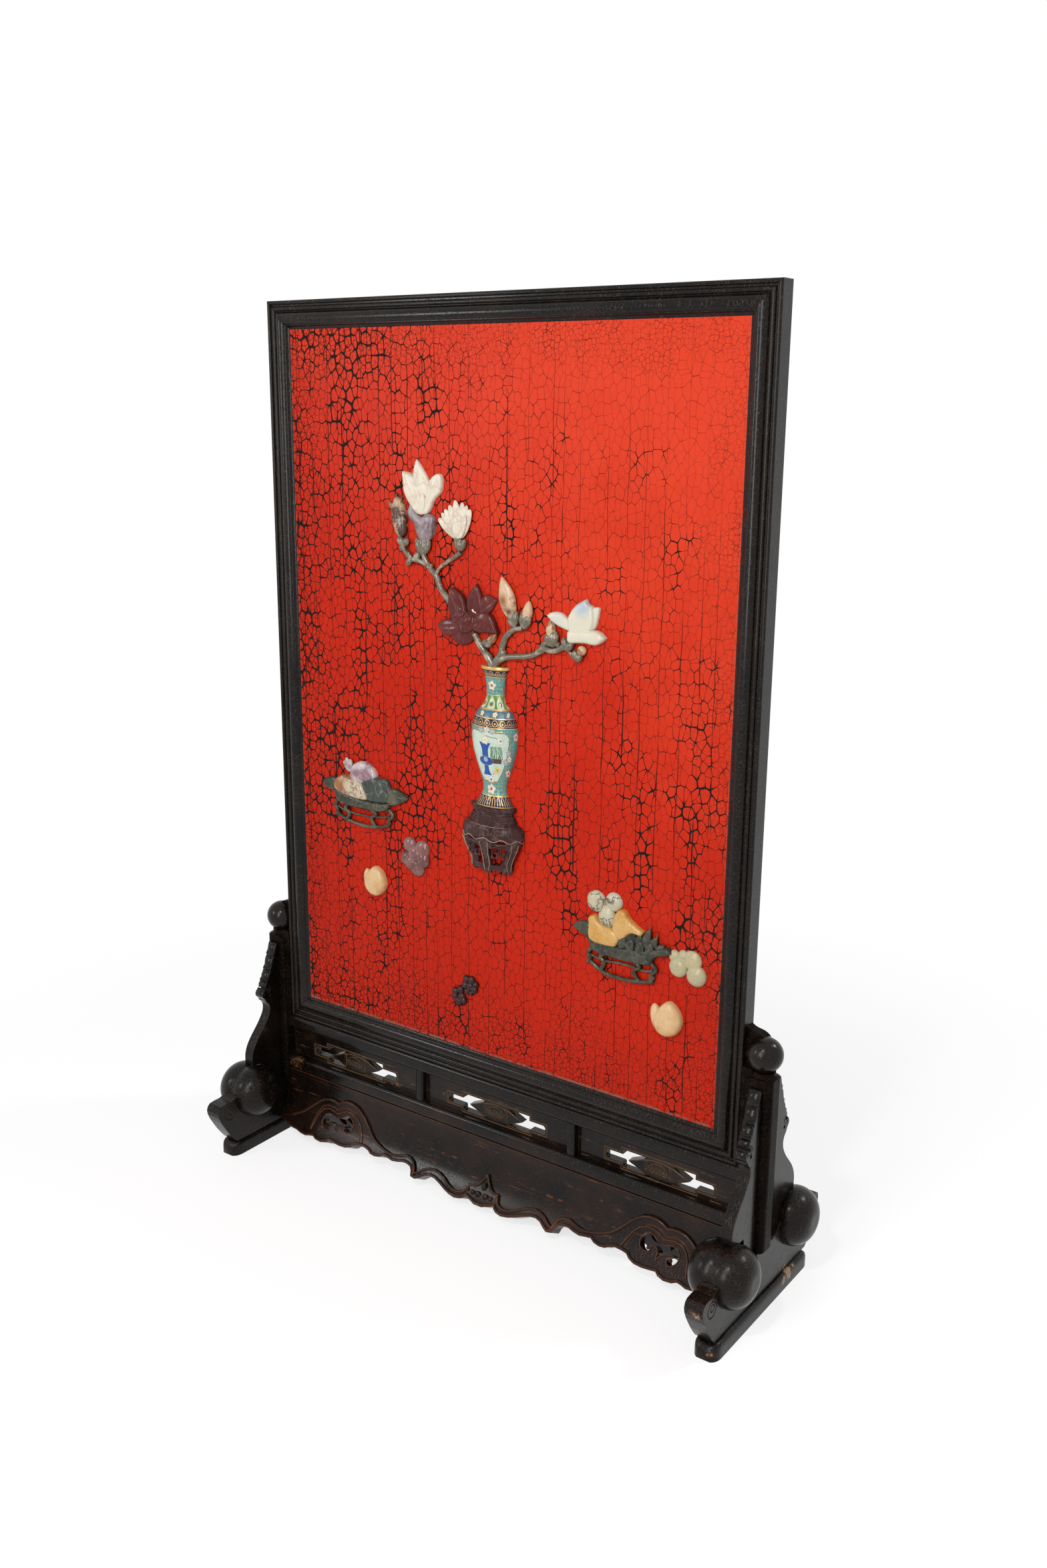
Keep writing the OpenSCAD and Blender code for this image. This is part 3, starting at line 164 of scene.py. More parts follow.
class Paint:
    """A material under construction: one Principled shader and what feeds it."""

    def __init__(self, name: str) -> None:
        """Starts a material with a Principled shader and no texture.

        Args:
            name: the material's name.
        """
        self.material = bpy.data.materials.new(name)
        self.material.use_nodes = True
        self.tree = self.material.node_tree
        self.tree.nodes.clear()
        self.shader = self.make("ShaderNodeBsdfPrincipled")
        self.output = self.make("ShaderNodeOutputMaterial")
        self.tree.links.new(self.shader.outputs[0], self.output.inputs[0])

    def feed(self, socket: bpy.types.NodeSocket, value: Any) -> None:
        """Links a signal to a socket, or gives it a fixed value.

        Args:
            socket: the input socket.
            value: the signal, or a number, vector or colour.
        """
        if isinstance(value, Signal):
            self.tree.links.new(value.socket, socket)
        elif isinstance(value, tuple) and len(value) == 3 and len(socket.default_value) == 4:
            socket.default_value = (*value, 1.0)
        else:
            socket.default_value = value

    def make(
        self, kind: str, settings: Optional[dict[str, Any]] = None, inputs: Optional[dict[Any, Any]] = None
    ) -> bpy.types.Node:
        """Adds a node.

        Args:
            kind: the node's type.
            settings: its own options.
            inputs: values or signals by socket name or number.

        Returns:
            The node.
        """
        node = self.tree.nodes.new(kind)
        for key, value in (settings or {}).items():
            setattr(node, key, value)
        for key, value in (inputs or {}).items():
            self.feed(node.inputs[key], value)
        return node

    def signal(
        self, kind: str, settings: Optional[dict[str, Any]] = None, inputs: Optional[dict[Any, Any]] = None,
        output: Any = 0,
    ) -> Signal:
        """Adds a node and gives one of its outputs.

        Args:
            kind: the node's type.
            settings: its own options.
            inputs: values or signals by socket name or number.
            output: the output's name or number.

        Returns:
            The output.
        """
        return Signal(self, self.make(kind, settings, inputs).outputs[output])

    def vector(self, operation: str, *values: Any, output: str = "Vector") -> Signal:
        """Adds one Vector Math node."""
        return self.signal("ShaderNodeVectorMath", {"operation": operation}, dict(enumerate(values)), output)

    def place(self, stretch: Place = (1, 1, 1)) -> Signal:
        """The point's own place in metres, stretched along each axis."""
        here = self.signal("ShaderNodeTexCoord", output="Object")
        return self.signal("ShaderNodeMapping", None, {"Vector": here, "Scale": stretch})

    def axes(self) -> tuple[Signal, Signal, Signal]:
        """The point's own X, Y and Z in metres."""
        node = self.make("ShaderNodeSeparateXYZ", None, {0: self.place()})
        return tuple(Signal(self, out) for out in node.outputs)

    def point(self, x: Any, y: Any, z: Any = 0.0) -> Signal:
        """A vector from three numbers or signals."""
        return self.signal("ShaderNodeCombineXYZ", None, {0: x, 1: y, 2: z})

    def noise(self, at: Signal, scale: float, detail: float = 3.0, rough: float = 0.5, warp: float = 0.0) -> Signal:
        """Fractal noise around one half.

        Args:
            at: the point it is read at.
            scale: features in a metre.
            detail: octaves.
            rough: weight of the finer octaves.
            warp: distortion.

        Returns:
            The noise's value.
        """
        inputs = {"Vector": at, "Scale": scale, "Detail": detail, "Roughness": rough, "Distortion": warp}
        return self.signal("ShaderNodeTexNoise", None, inputs, "Fac")

    def shaken(self, at: Signal, scale: float, amount: float) -> Signal:
        """A point moved about by noise.

        Args:
            at: the point.
            scale: features of the noise in a metre.
            amount: furthest move in metres.

        Returns:
            The moved point.
        """
        cloud = self.signal("ShaderNodeTexNoise", None, {"Vector": at, "Scale": scale, "Detail": 2.0}, "Color")
        return self.vector("ADD", at, self.vector("MULTIPLY_ADD", cloud, (amount * 2,) * 3, (-amount,) * 3))

    def cells(self, at: Signal, scale: float, edge: bool = True, random: float = 1.0, flat: bool = True) -> Signal:
        """A cell pattern.

        Args:
            at: the point it is read at.
            scale: cells in a metre.
            edge: distance to the nearest cell edge, or else to the nearest centre.
            random: how irregular the cells are.
            flat: whether only the first two coordinates count.

        Returns:
            The distance, in cells.
        """
        settings = {"feature": "DISTANCE_TO_EDGE" if edge else "F1", "voronoi_dimensions": "2D" if flat else "3D"}
        inputs = {"Vector": at, "Scale": scale, "Randomness": random}
        return self.signal("ShaderNodeTexVoronoi", settings, inputs, "Distance")

    def mix(self, part: Any, first: Any, second: Any) -> Signal:
        """Mixes two colours; part is the share of the second."""
        settings = {"data_type": "RGBA", "blend_type": "MIX", "clamp_factor": True}
        return self.signal("ShaderNodeMix", settings, {0: part, 6: first, 7: second}, 2)

    def find_edges(self, width: float) -> tuple[Signal, Signal]:
        """Finds corners by comparing the true normal with a rounded one.

        Args:
            width: reach of the rounding in metres.

        Returns:
            How near an edge the point is, from 0 to about 1, and the rounded normal.
        """
        rounded = self.signal("ShaderNodeBevel", {"samples": 4}, {"Radius": width})
        true = self.signal("ShaderNodeNewGeometry", output="True Normal")
        return 1.0 - self.vector("DOT_PRODUCT", rounded, true, output="Value"), rounded

    def recess(self, reach: float, samples: int = 6) -> Signal:
        """How shut in the point is, from 0 in the open to 1 in a tight corner."""
        settings = {"samples": samples, "only_local": True}
        return 1.0 - self.signal("ShaderNodeAmbientOcclusion", settings, {"Distance": reach}, "AO")

    def seen(self) -> Signal:
        """Tells the rays that meet plain white from the ones that light the screen.

        Returns:
            1 for rays from the camera and for mirrored and passed ones.
        """
        rays = self.make("ShaderNodeLightPath").outputs
        camera, glossy, passed = (Signal(self, rays[f"Is {name} Ray"]) for name in ("Camera", "Glossy", "Transmission"))
        return camera.most(glossy).most(passed)

    def bump(self, height: Signal, strength: float, distance: float, normal: Optional[Signal] = None) -> Signal:
        """A normal from a height.

        Args:
            height: the height, from 0 to 1.
            strength: share of the effect.
            distance: metres that a height of 1 stands for.
            normal: the normal that it starts from.

        Returns:
            The new normal.
        """
        start = {"Normal": normal} if normal is not None else {}
        inputs = {"Height": height, "Strength": strength, "Distance": distance, **start}
        return self.signal("ShaderNodeBump", None, inputs)

    def dress(self, **values: Any) -> bpy.types.Material:
        """Sets the Principled shader's sockets.

        Args:
            values: socket names with underscores for spaces, and their values or signals.

        Returns:
            The finished material.
        """
        for key, value in values.items():
            self.feed(self.shader.inputs[key.replace("_", " ")], value)
        return self.material


class Sky(Paint):
    """The world's light under construction."""

    def __init__(self, world: bpy.types.World) -> None:
        """Empties a world's nodes.

        Args:
            world: the world.
        """
        world.use_nodes = True
        self.tree = world.node_tree
        self.tree.nodes.clear()


# ---------------------------------------------------------------- finishes


@dataclass(frozen=True)
class BlackLacquer:
    """Aged black-brown lacquer over wood, crazed, with dust in its corners and rubbed edges."""

    name: str = "black_lacquer"
    black: Colour = (0.0032, 0.0026, 0.0024)
    brown: Colour = (0.0100, 0.0060, 0.0045)
    rubbed: Colour = (0.085, 0.036, 0.016)
    dust: Colour = (0.120, 0.082, 0.046)
    bare: Colour = (0.42, 0.27, 0.15)
    wear: float = 0.35
    dusty: float = 0.45
    craze: float = 0.35
    gloss: float = 0.08
    shine: float = 0.20
    chips: tuple[tuple[float, float, float, float], ...] = ()
    crowned: Pair = (0.95, 0.70)
    bared: Pair = (0.62, 0.50)

    def _chipped(self, p: Paint, base: Signal, coarse: Signal, fine: Signal) -> Signal:
        """Lays bare the wood at each chip, which is a place and a reach in metres.

        Args:
            p: the material.
            base: the colour so far.
            coarse: larger unevenness of a chip's outline.
            fine: smaller unevenness of it.

        Returns:
            The colour with the chips in it.
        """
        x, y, z = p.axes()
        for at_x, at_y, at_z, reach in self.chips:
            worn = distance(x - at_x, y - at_y, z - at_z) / reach + coarse + fine
            base = p.mix(worn.step(*self.crowned), base, self.rubbed)
            base = p.mix(worn.step(*self.bared), base, self.bare)
        return base

    def build(self) -> bpy.types.Material:
        """Makes the material.

        Returns:
            The material.
        """
        p = Paint(self.name)
        here = p.place()
        cloud = p.noise(here, 9.0, 4.0, 0.6)
        streak = p.noise(here, 240.0, 4.0, 0.65)
        speck = p.noise(here, 420.0, 2.0)
        wood = p.noise(p.place((0.06, 1.0, 1.0)), 170.0, 4.0, 0.6)
        edge, rounded = p.find_edges(1.6 * MM)
        patch = p.noise(here, 55.0, 5.0, 0.7)
        net = p.cells(p.shaken(here, 60.0, 2.0 * MM), 150.0, flat=False).step(0.05, 0.0) * patch.step(0.35, 0.6)
        rub = (edge.step(0.03, 0.25) * (patch + self.wear * 0.6).step(0.62, 0.86)).clamp()
        corner = (p.recess(12 * MM).step(0.45, 1.0) * (patch * 1.2 + 0.2).clamp() * self.dusty).clamp()
        base = p.mix(cloud.step(0.38, 0.72), self.black, self.brown)
        base = p.mix((wood * 0.5 + streak * 0.5).step(0.50, 0.75) * (0.25 + self.wear * 0.6), base, self.brown)
        base = p.mix(net * self.craze * 0.5, base, self.dust)
        base = p.mix(corner, base, self.dust)
        base = p.mix(rub * self.wear * 2.0, base, self.rubbed)
        chip = (patch * 0.5 + speck * 0.5).step(0.655, 0.70) * edge.step(0.02, 0.1) * self.wear
        base = p.mix(chip, base, self.dust)
        if self.chips:
            base = self._chipped(p, base, (patch - 0.5) * 3.2, (speck - 0.5) * 1.2)
        scratch = wood.step(0.60, 0.66) * patch.step(0.48, 0.62) * (self.wear - 0.35) * 1.6
        base = p.mix(scratch.clamp(), base, self.rubbed)
        rough = cloud.scale(self.gloss, self.gloss + 0.10) + streak * 0.05 + corner * 0.4 + rub * 0.15
        height = streak * 0.25 + speck * 0.15 + cloud * 2.5 - net * self.craze * 1.6 + wood * self.wear * 0.8
        return p.dress(
            Base_Color=base,
            Roughness=rough.clamp(),
            Normal=p.bump(height, 0.40, 0.26 * MM, rounded),
            Specular_IOR_Level=self.shine,
        )


@dataclass(frozen=True)
class RedCrackle:
    """Vermilion lacquer that has shrunk into a net of dark cracks; the back is black-brown."""

    name: str = "red_crackle"
    red: Colour = (0.57, 0.021, 0.005)
    deep: Colour = (0.50, 0.016, 0.004)
    # colour of a painted sheen: a lighter red that stands in for the glare toward the upper right
    painted_sheen: Colour = (0.76, 0.062, 0.022)
    crack: Colour = (0.013, 0.007, 0.006)
    back: Colour = (0.014, 0.010, 0.009)
    dust: Colour = (0.26, 0.13, 0.085)
    front_y: float = -6.0 * MM
    foot_z: float = 0.2845
    middle_cells: float = 70.0
    fine_cells: float = 140.0
    boards: float = 30.0

    def _net(self, p: Paint, at: Signal, scale: float, width: Signal, random: float, soft: float) -> Signal:
        """A net of cracks round rounded cells.

        Args:
            p: the material.
            at: the point on the panel.
            scale: cells in a metre.
            width: half the width of a crack in metres, as a signal; nothing is drawn below zero.
            random: how irregular the cells are.
            soft: softness of a crack's edge, in cells.

        Returns:
            1 in a crack and 0 on a cell.
        """
        edge = p.cells(at, scale, random=random)
        corner = p.cells(at, scale, edge=False, random=random)
        reach = width * scale * (corner * 3.0 - 0.55).most(0.4)
        return ((reach - edge) / soft + 0.5).clamp() * width.step(0.0, 0.00008)

    def build(self) -> bpy.types.Material:
        """Makes the material.

        Returns:
            The material.
        """
        p = Paint(self.name)
        x, y, z = p.axes()
        flat = p.point(x, z)
        cloud = p.noise(flat, 2.6, 3.0, 0.6)
        blotch = p.noise(flat, 8.0, 4.0, 0.65)
        bent = p.shaken(flat, 45.0, 2.6 * MM)
        tall = p.vector("MULTIPLY", bent, (1.25, 0.85, 1.0))
        lean = x + p.noise(p.point(x * 0.6, z * 0.35), 22.0, 3.0) * 0.010
        # thin straight cracks follow the boards from top to bottom; they come and go along their length
        run = p.signal("ShaderNodeTexVoronoi", {"feature": "DISTANCE_TO_EDGE", "voronoi_dimensions": "1D"},
                       {"W": lean, "Scale": self.boards}, "Distance")
        alive = p.noise(p.point(x * 2.2, z * 0.7), 9.0, 3.0, 0.6)
        rim = abs(x).step(0.32, 0.42).most(z.step(0.42, 0.31)).most(z.step(1.33, 1.45))
        left = (x * -1.5 + 0.25 + (cloud - 0.5) * 2.4).step(0.0, 1.0)
        fade = ((x + 0.02) * 1.5 + (z - 1.10) * 1.4 + (cloud - 0.5) * 1.6).step(0.85, 0.05)
        column = p.noise(p.point(x, z * 0.16), 15.0, 2.0, 0.5)
        part = p.noise(p.point(x, z * 0.38), 26.0, 3.0, 0.6)
        low = z.step(0.66, 0.36) * 0.42
        much = ((column - 0.5) * 3.6 + (blotch - 0.5) * 2.4 + left * 0.26 + rim * 0.25 + 0.27 - low).clamp() * fade
        strong = (much * 1.5 - 0.35 + (part - 0.5) * 2.4).clamp() * 0.00095
        bold = (strong + (part * 0.0003 + left * 0.00022 + 0.00008)) * fade.scale(0.45, 1.0)
        middle = self._net(p, tall, self.middle_cells, bold, 1.0, 0.035)
        close = (rim * 0.55 + left * 0.40 + low * 0.6 + (blotch - 0.5) * 1.8 + (part - 0.5) * 1.2 - 0.20) * 0.00038
        fine = self._net(p, bent, self.fine_cells, close, 0.95, 0.06)
        wide = (alive.step(0.40, 0.72) * much * 0.050 + 0.016) * fade.scale(0.25, 1.0)
        thread = ((wide - run) / 0.008 + 0.4).clamp() * alive.step(0.36, 0.52)
        net = middle.most(fine * 0.9).most(thread * 0.9)
        lacquer = p.mix(cloud.step(0.3, 0.7), self.deep, self.red)
        # painted sheen: the red lightens toward the upper right, as if lit from there
        lacquer = p.mix((x * 0.9 + (z - 0.9) * 1.1 + (blotch - 0.5)).step(-0.2, 0.9) * 0.7, lacquer, self.painted_sheen)
        stain = (rim * 0.40 + left * 0.10) * p.noise(flat, 60.0, 5.0, 0.75).step(0.50, 0.75)
        lacquer = p.mix(stain * 0.45, lacquer, self.crack)
        face = p.mix(net, lacquer, self.crack)
        ledge = z.step(self.foot_z + 2 * MM, self.foot_z - 2 * MM).most(abs(x).step(0.4150, 0.4172) * 0.5)
        face = p.mix((ledge * p.noise(flat, 90.0, 4.0).step(0.35, 0.6)).clamp() * 0.7, face, self.dust)
        front = y.step(self.front_y + 0.5 * MM, self.front_y - 0.5 * MM)
        base = p.mix(front, self.back, face)
        grain = p.noise(p.point(x * 6.0, z * 0.5), 60.0, 3.0)
        rough = cloud.scale(0.28, 0.40) + net * 0.35 + blotch * 0.08
        height = (1.0 - net) * front + grain * 0.10 + blotch * 0.4
        return p.dress(
            Base_Color=base,
            Roughness=rough.clamp(),
            Normal=p.bump(height, 0.6, 0.35 * MM),
            Specular_IOR_Level=0.09,
        )


@dataclass(frozen=True)
class Stone:
    """Polished hardstone: clouds of two or three colours, veins and a soft gloss."""

    name: str
    main: Colour
    second: Colour
    vein: Colour
    cloud_scale: float = 28.0
    cloud_low: float = 0.35
    cloud_high: float = 0.65
    vein_part: float = 0.3
    # share of a painted highlight laid along the rounded edges, in the vein colour
    edge_sheen_part: float = 0.0
    rough: float = 0.20
    glow: float = 0.15
    shine: float = 0.4
    # colour of the painted shade laid in hollows and between pieces
    painted_shade: Colour = (0.02, 0.012, 0.010)
    tints: tuple[tuple[float, float, float, Colour], ...] = ()

    def build(self) -> bpy.types.Material:
        """Makes the material.

        Returns:
            The material.
        """
        p = Paint(self.name)
        here = p.shaken(p.place(), 30.0, 5.0 * MM)
        cloud = p.noise(here, self.cloud_scale, 5.0, 0.6, 0.4)
        fine = p.noise(here, self.cloud_scale * 6, 3.0, 0.6)
        thread = abs(p.noise(here, self.cloud_scale * 1.7, 4.0, 0.55) - 0.5)
        edge, rounded = p.find_edges(1.2 * MM)
        base = p.mix(cloud.step(self.cloud_low, self.cloud_high), self.main, self.second)
        base = p.mix(thread.step(0.035, 0.0) * self.vein_part, base, self.vein)
        base = p.mix(fine.step(0.3, 0.8) * 0.25, base, self.second)
        # painted highlight: the rounded edges are lightened towards the vein colour
        if self.edge_sheen_part:
            base = p.mix(edge.step(0.02, 0.25) * fine.step(0.25, 0.6) * self.edge_sheen_part, base, self.vein)
        for at_x, at_z, reach, colour in self.tints:
            x, _, z = p.axes()
            base = p.mix((distance(x - at_x, z - at_z) / reach + (cloud - 0.5) * 1.6).step(1.1, 0.0), base, colour)
        # painted shade: the stone darkens in its hollows and in the gaps between pieces
        shut = p.recess(4 * MM, 4).step(0.35, 1.0)
        base = p.mix(shut * 0.6, base, self.painted_shade)
        return p.dress(
            Base_Color=base,
            Roughness=(fine * 0.12 + self.rough).clamp(),
            Normal=p.bump(fine * 0.4 + cloud, 0.25, 0.5 * MM, rounded),
            Subsurface_Weight=self.glow,
            Subsurface_Radius=(0.004, 0.003, 0.002),
            Specular_IOR_Level=self.shine,
        )


@dataclass
class Glaze:
    """Enamel work in progress on the half vase.

    Attributes:
        paint: the material.
        angle: angle round the vase from its front, in radians.
        radius: the vase's radius there, in millimetres.
        z: height in millimetres.
        base: the colour so far.
        wires: the gilt lines so far.
        soft: softness of a band's edges, in millimetres.
    """

    paint: Paint
    angle: Signal
    radius: Signal
    z: Signal
    base: Any
    wires: Signal
    soft: float = 0.2

    @property
    def u(self) -> Signal:
        """Millimetres round the vase from its front."""
        return self.angle * self.radius

    def lay(self, part: Signal, colour: Colour) -> None:
        """Lays a colour where part is 1."""
        self.base = self.paint.mix(part, self.base, colour)

    def wire(self, line: Signal) -> None:
        """Adds gilt wire where line is 1."""
        self.wires = self.wires.most(line)

    def nearest(self, count: int) -> Signal:
        """Millimetres to the nearest of some places, evenly spread round the vase."""
        return (self.angle + math.pi).fold(2 * math.pi / count) * self.radius

    def band(self, low: float, high: float) -> Signal:
        """1 between two heights."""
        return self.z.band(low, high, self.soft)

    def strip(self, low: float, high: float, colour: Colour, keep: float) -> None:
        """Paints a band of the vase.

        Args:
            low: its lower edge.
            high: its upper edge.
            colour: its colour.
            keep: share of the gilt curls that stays on it.
        """
        inside = self.z.band(low, high, 0.25)
        self.lay(inside, colour)
        self.wires = self.wires * (1.0 - inside * (1.0 - keep))

    def heads(self, low: float, high: float, count: int, grow: float) -> None:
        """Draws a row of gilt cloud heads.

        Args:
            low: the row's lower edge.
            high: its upper edge.
            count: heads in a whole turn.
            grow: radius of a head.
        """
        across, up = self.nearest(count), self.z - (low + high) / 2
        foot = distance(across - grow * 1.25, up + grow * 0.6) - grow * 0.4
        heart = distance(across, up + 0.6).step(grow * 0.42, grow * 0.30)
        drawn = abs(distance(across, up) - grow).step(0.70, 0.35).most(abs(foot).step(0.5, 0.2)).most(heart)
        self.wire(drawn * self.band(low, high))

    def blossom(self, at: float, height: float, radius: float, petal: Colour, heart: Colour) -> None:
        """Draws a blossom of five petals.

        Args:
            at: its place round the vase.
            height: its height.
            radius: its size.
            petal: colour of its petals.
            heart: colour of its heart.
        """
        across, up = self.u - at, self.z - height
        out = distance(across, up)
        petals = up.arctan(across).wave(2 * math.pi / 5, 0.7).scale(0.72, 1.0) * radius
        self.lay((out - petals).step(0.35, -0.35), petal)
        self.lay((out - radius * 0.28).step(0.3, -0.3), heart)
        self.wire(abs(out - petals).step(0.55, 0.2) * 0.8)


@dataclass(frozen=True)
class Enamel:
    """Cloisonne enamel on a half vase: bands, a picture field and gilt wires, drawn in its angle and height."""

    name: str = "vase_enamel"
    axis_x: float = 4.0
    back_y: float = -7.0
    depth: float = 25 / 44
    gold: Colour = (0.58, 0.36, 0.12)
    sky: Colour = (0.075, 0.30, 0.29)
    navy: Colour = (0.008, 0.012, 0.050)
    blue: Colour = (0.010, 0.075, 0.33)
    azure: Colour = (0.055, 0.17, 0.25)
    pale: Colour = (0.27, 0.42, 0.68)
    mint: Colour = (0.55, 0.68, 0.56)
    white: Colour = (0.72, 0.70, 0.64)
    red: Colour = (0.38, 0.045, 0.035)
    leaf: Colour = (0.10, 0.26, 0.08)
    sun: Colour = (0.72, 0.58, 0.12)
    plum: Colour = (0.10, 0.035, 0.05)
    grass: Colour = (0.03, 0.12, 0.04)
    bark: Colour = (0.16, 0.07, 0.03)

    def _curls(self, p: Paint, flat: Signal) -> Signal:
        """Small gilt curls and dots all over the ground.

        Args:
            p: the material.
            flat: millimetres round the vase, and height.

        Returns:
            1 on a curl and 0 beside it.
        """
        cell = p.cells(flat, 1 / 6.5, edge=False, random=0.35)
        curls = abs(cell - 0.30).step(0.085, 0.04) * p.noise(flat, 0.30, 2.0).step(0.44, 0.54)
        return curls.most(cell.step(0.08, 0.04))

    def _bands(self, g: Glaze) -> None:
        """Paints the bands of the neck, shoulder and foot, with their heads, leaves and lappets.

        Args:
            g: the enamel so far.
        """
        for low, high, colour, keep in (
            (930, 941, self.navy, 0.0), (880, 900, self.mint, 0.0), (866.5, 878, self.azure, 0.55),
            (852, 865.5, self.navy, 0.0), (720, 738, self.navy, 0.0),
        ):
            g.strip(low, high, colour, keep)
        g.heads(930, 940.5, 12, 3.4)
        g.heads(852, 865.5, 18, 4.6)
        neck, arch, rise = g.band(880, 900), g.nearest(8), (g.z - 880.0) / 19.0
        leaf = arch - (1.0 - rise * rise) * 6.0
        g.wire(abs(leaf).step(1.0, 0.5) * neck)
        g.lay(leaf.step(0.6, 1.4) * neck, self.leaf)
        inner = distance(arch, g.z - 887.0)
        g.lay(inner.step(4.2, 3.4) * neck, self.leaf)
        g.lay(inner.step(2.2, 1.6) * neck, self.red)
        lappet = abs(g.nearest(22) - (2.4 - ((g.z - 732.0) / 5.5).most(0.0) ** 2.0 * 2.4))
        g.wire(lappet.step(0.85, 0.40) * g.band(723, 738))

    def _picture(self, g: Glaze) -> None:
        """Draws the field, a rounded shield with a dark border, and the things that stand in it.

        Args:
            g: the enamel so far.
        """
        u, z = g.u, g.z
        down = (843.0 - z).most(0.0)
        half = 43.0 - down * down * 0.0047 - (z - 835.0).most(0.0) ** 2.0 * 0.12
        rim = (abs(u) - half).most(z - 844.0).most(763.0 - z)
        g.lay(rim.step(2.4, 2.0), self.navy)
        g.lay(rim.step(0.2, -0.2), self.mint)
        g.wires = (g.wires * rim.step(0.0, 1.0)).most(abs(rim - 1.7).step(0.7, 0.2))
        # a blue vase with a waist, a round belly and a foot
        v = u + 4.0
        belly = (v / 14.5) ** 2.0 + ((z - 797.0) / 7.5) ** 2.0
        flare = abs(v) - ((z - 812.0) / 15.0).most(0.0) ** 2.0 * 6.0 - 6.0
        foot = abs(v) - ((786.0 - z) / 12.0).most(0.0) ** 2.0 * 3.6 - 4.4
        body = belly.step(1.06, 0.94)
        body = body.most(flare.step(0.4, -0.4) * z.band(803, 827, 0.3))
        body = body.most(foot.step(0.4, -0.4) * z.band(773, 791, 0.3))
        g.lay(body, self.blue)
        g.lay(body * distance(v, z - 799.0).step(4.5, 3.8), self.pale)
        g.wire(body * abs(belly - 1.0).step(0.14, 0.05) * 0.8)
        # a low planter with grass, and a twig over it
        w = u - 17.0
        g.lay((abs(w) - 8.0 - (z - 795.0) * 0.15).step(0.4, -0.4) * z.band(794, 802, 0.3), self.plum)
        bend = g.paint.noise(g.paint.point(w * 0.4, 0.0), 1.0, 1.0).scale(-1.2, 1.2)
        blade = abs(w - (z - 802.0) * bend).fold(3.4)
        g.lay(blade.step(1.2, 0.6) * z.band(801, 822, 0.6) * (abs(w) - 11.0).step(0.5, -0.5), self.grass)
        twig = abs(z - 834.0 + (u - 12.0) * 0.16 - g.paint.noise(g.paint.point(u, 0.0), 0.10, 2.0) * 5.0)
        g.lay(twig.step(0.7, 0.3) * u.band(-2, 32, 0.5), self.bark)

    def _blossoms(self, g: Glaze) -> None:
        """Draws the blossoms, by place, height, size and colours of petals and heart.

        Args:
            g: the enamel so far.
        """
        pale, white, red, sun, leaf = self.pale, self.white, self.red, self.sun, self.leaf
        for spec in (
            (-12, 846, 5.5, pale, sun), (0, 848, 5.5, white, pale), (10, 846, 5.5, pale, sun),
            (40, 812, 5.5, pale, sun), (42, 802, 5.5, white, pale), (33, 797, 5.5, pale, sun),
            (-3, 831, 7.5, white, sun), (26, 832, 6.5, white, leaf), (60, 838, 7.5, white, red),
            (38, 777, 7.0, white, red), (1, 750, 8.5, white, red), (2, 766, 6.0, white, self.blue),
            (-1, 916, 8.0, white, red), (16, 783, 5.6, sun, leaf), (8, 776, 4.2, white, red),
            (12, 872, 4.4, white, sun), (-14, 872, 4.4, white, sun), (38, 872, 4.4, white, sun),
            (-30, 750, 6.0, white, red), (-45, 812, 6.0, white, red), (-20, 905, 5.0, white, red),
            (-48, 835, 5.5, pale, sun),
        ):
            g.blossom(*spec)

    def build(self) -> bpy.types.Material:
        """Makes the material.

        Returns:
            The material.
        """
        p = Paint(self.name)
        x, y, z = p.axes()
        side = x / MM - self.axis_x
        out = (y / MM - self.back_y) / -self.depth
        radius, angle, z = distance(side, out), side.arctan(out), z / MM
        g = Glaze(p, angle, radius, z, self.sky, self._curls(p, p.point(angle * radius, z)))
        self._bands(g)
        self._picture(g)
        self._blossoms(g)
        rings = z.band(941, 950, 0.2)
        for at, wide in ((929.5, 0.7), (900.5, 0.7), (879, 1.1), (866, 0.8), (851.5, 0.7), (739, 0.8), (721.5, 1.6)):
            rings = rings.most(abs(z - at).step(wide + 0.2, wide - 0.2))
        gilt = g.wires.most(rings).clamp()
        tarnish = p.noise(p.place(), 90.0, 4.0, 0.6)
        g.lay(tarnish.step(0.45, 0.8) * 0.25, self.navy)
        g.lay(gilt, self.gold)
        return p.dress(
            Base_Color=g.base,
            Metallic=gilt * 0.55,
            Roughness=(tarnish * 0.12 + gilt * 0.12 + 0.12).clamp(),
            Normal=p.bump(gilt + tarnish * 0.4, 0.5, 0.25 * MM),
            Specular_IOR_Level=0.35,
        )


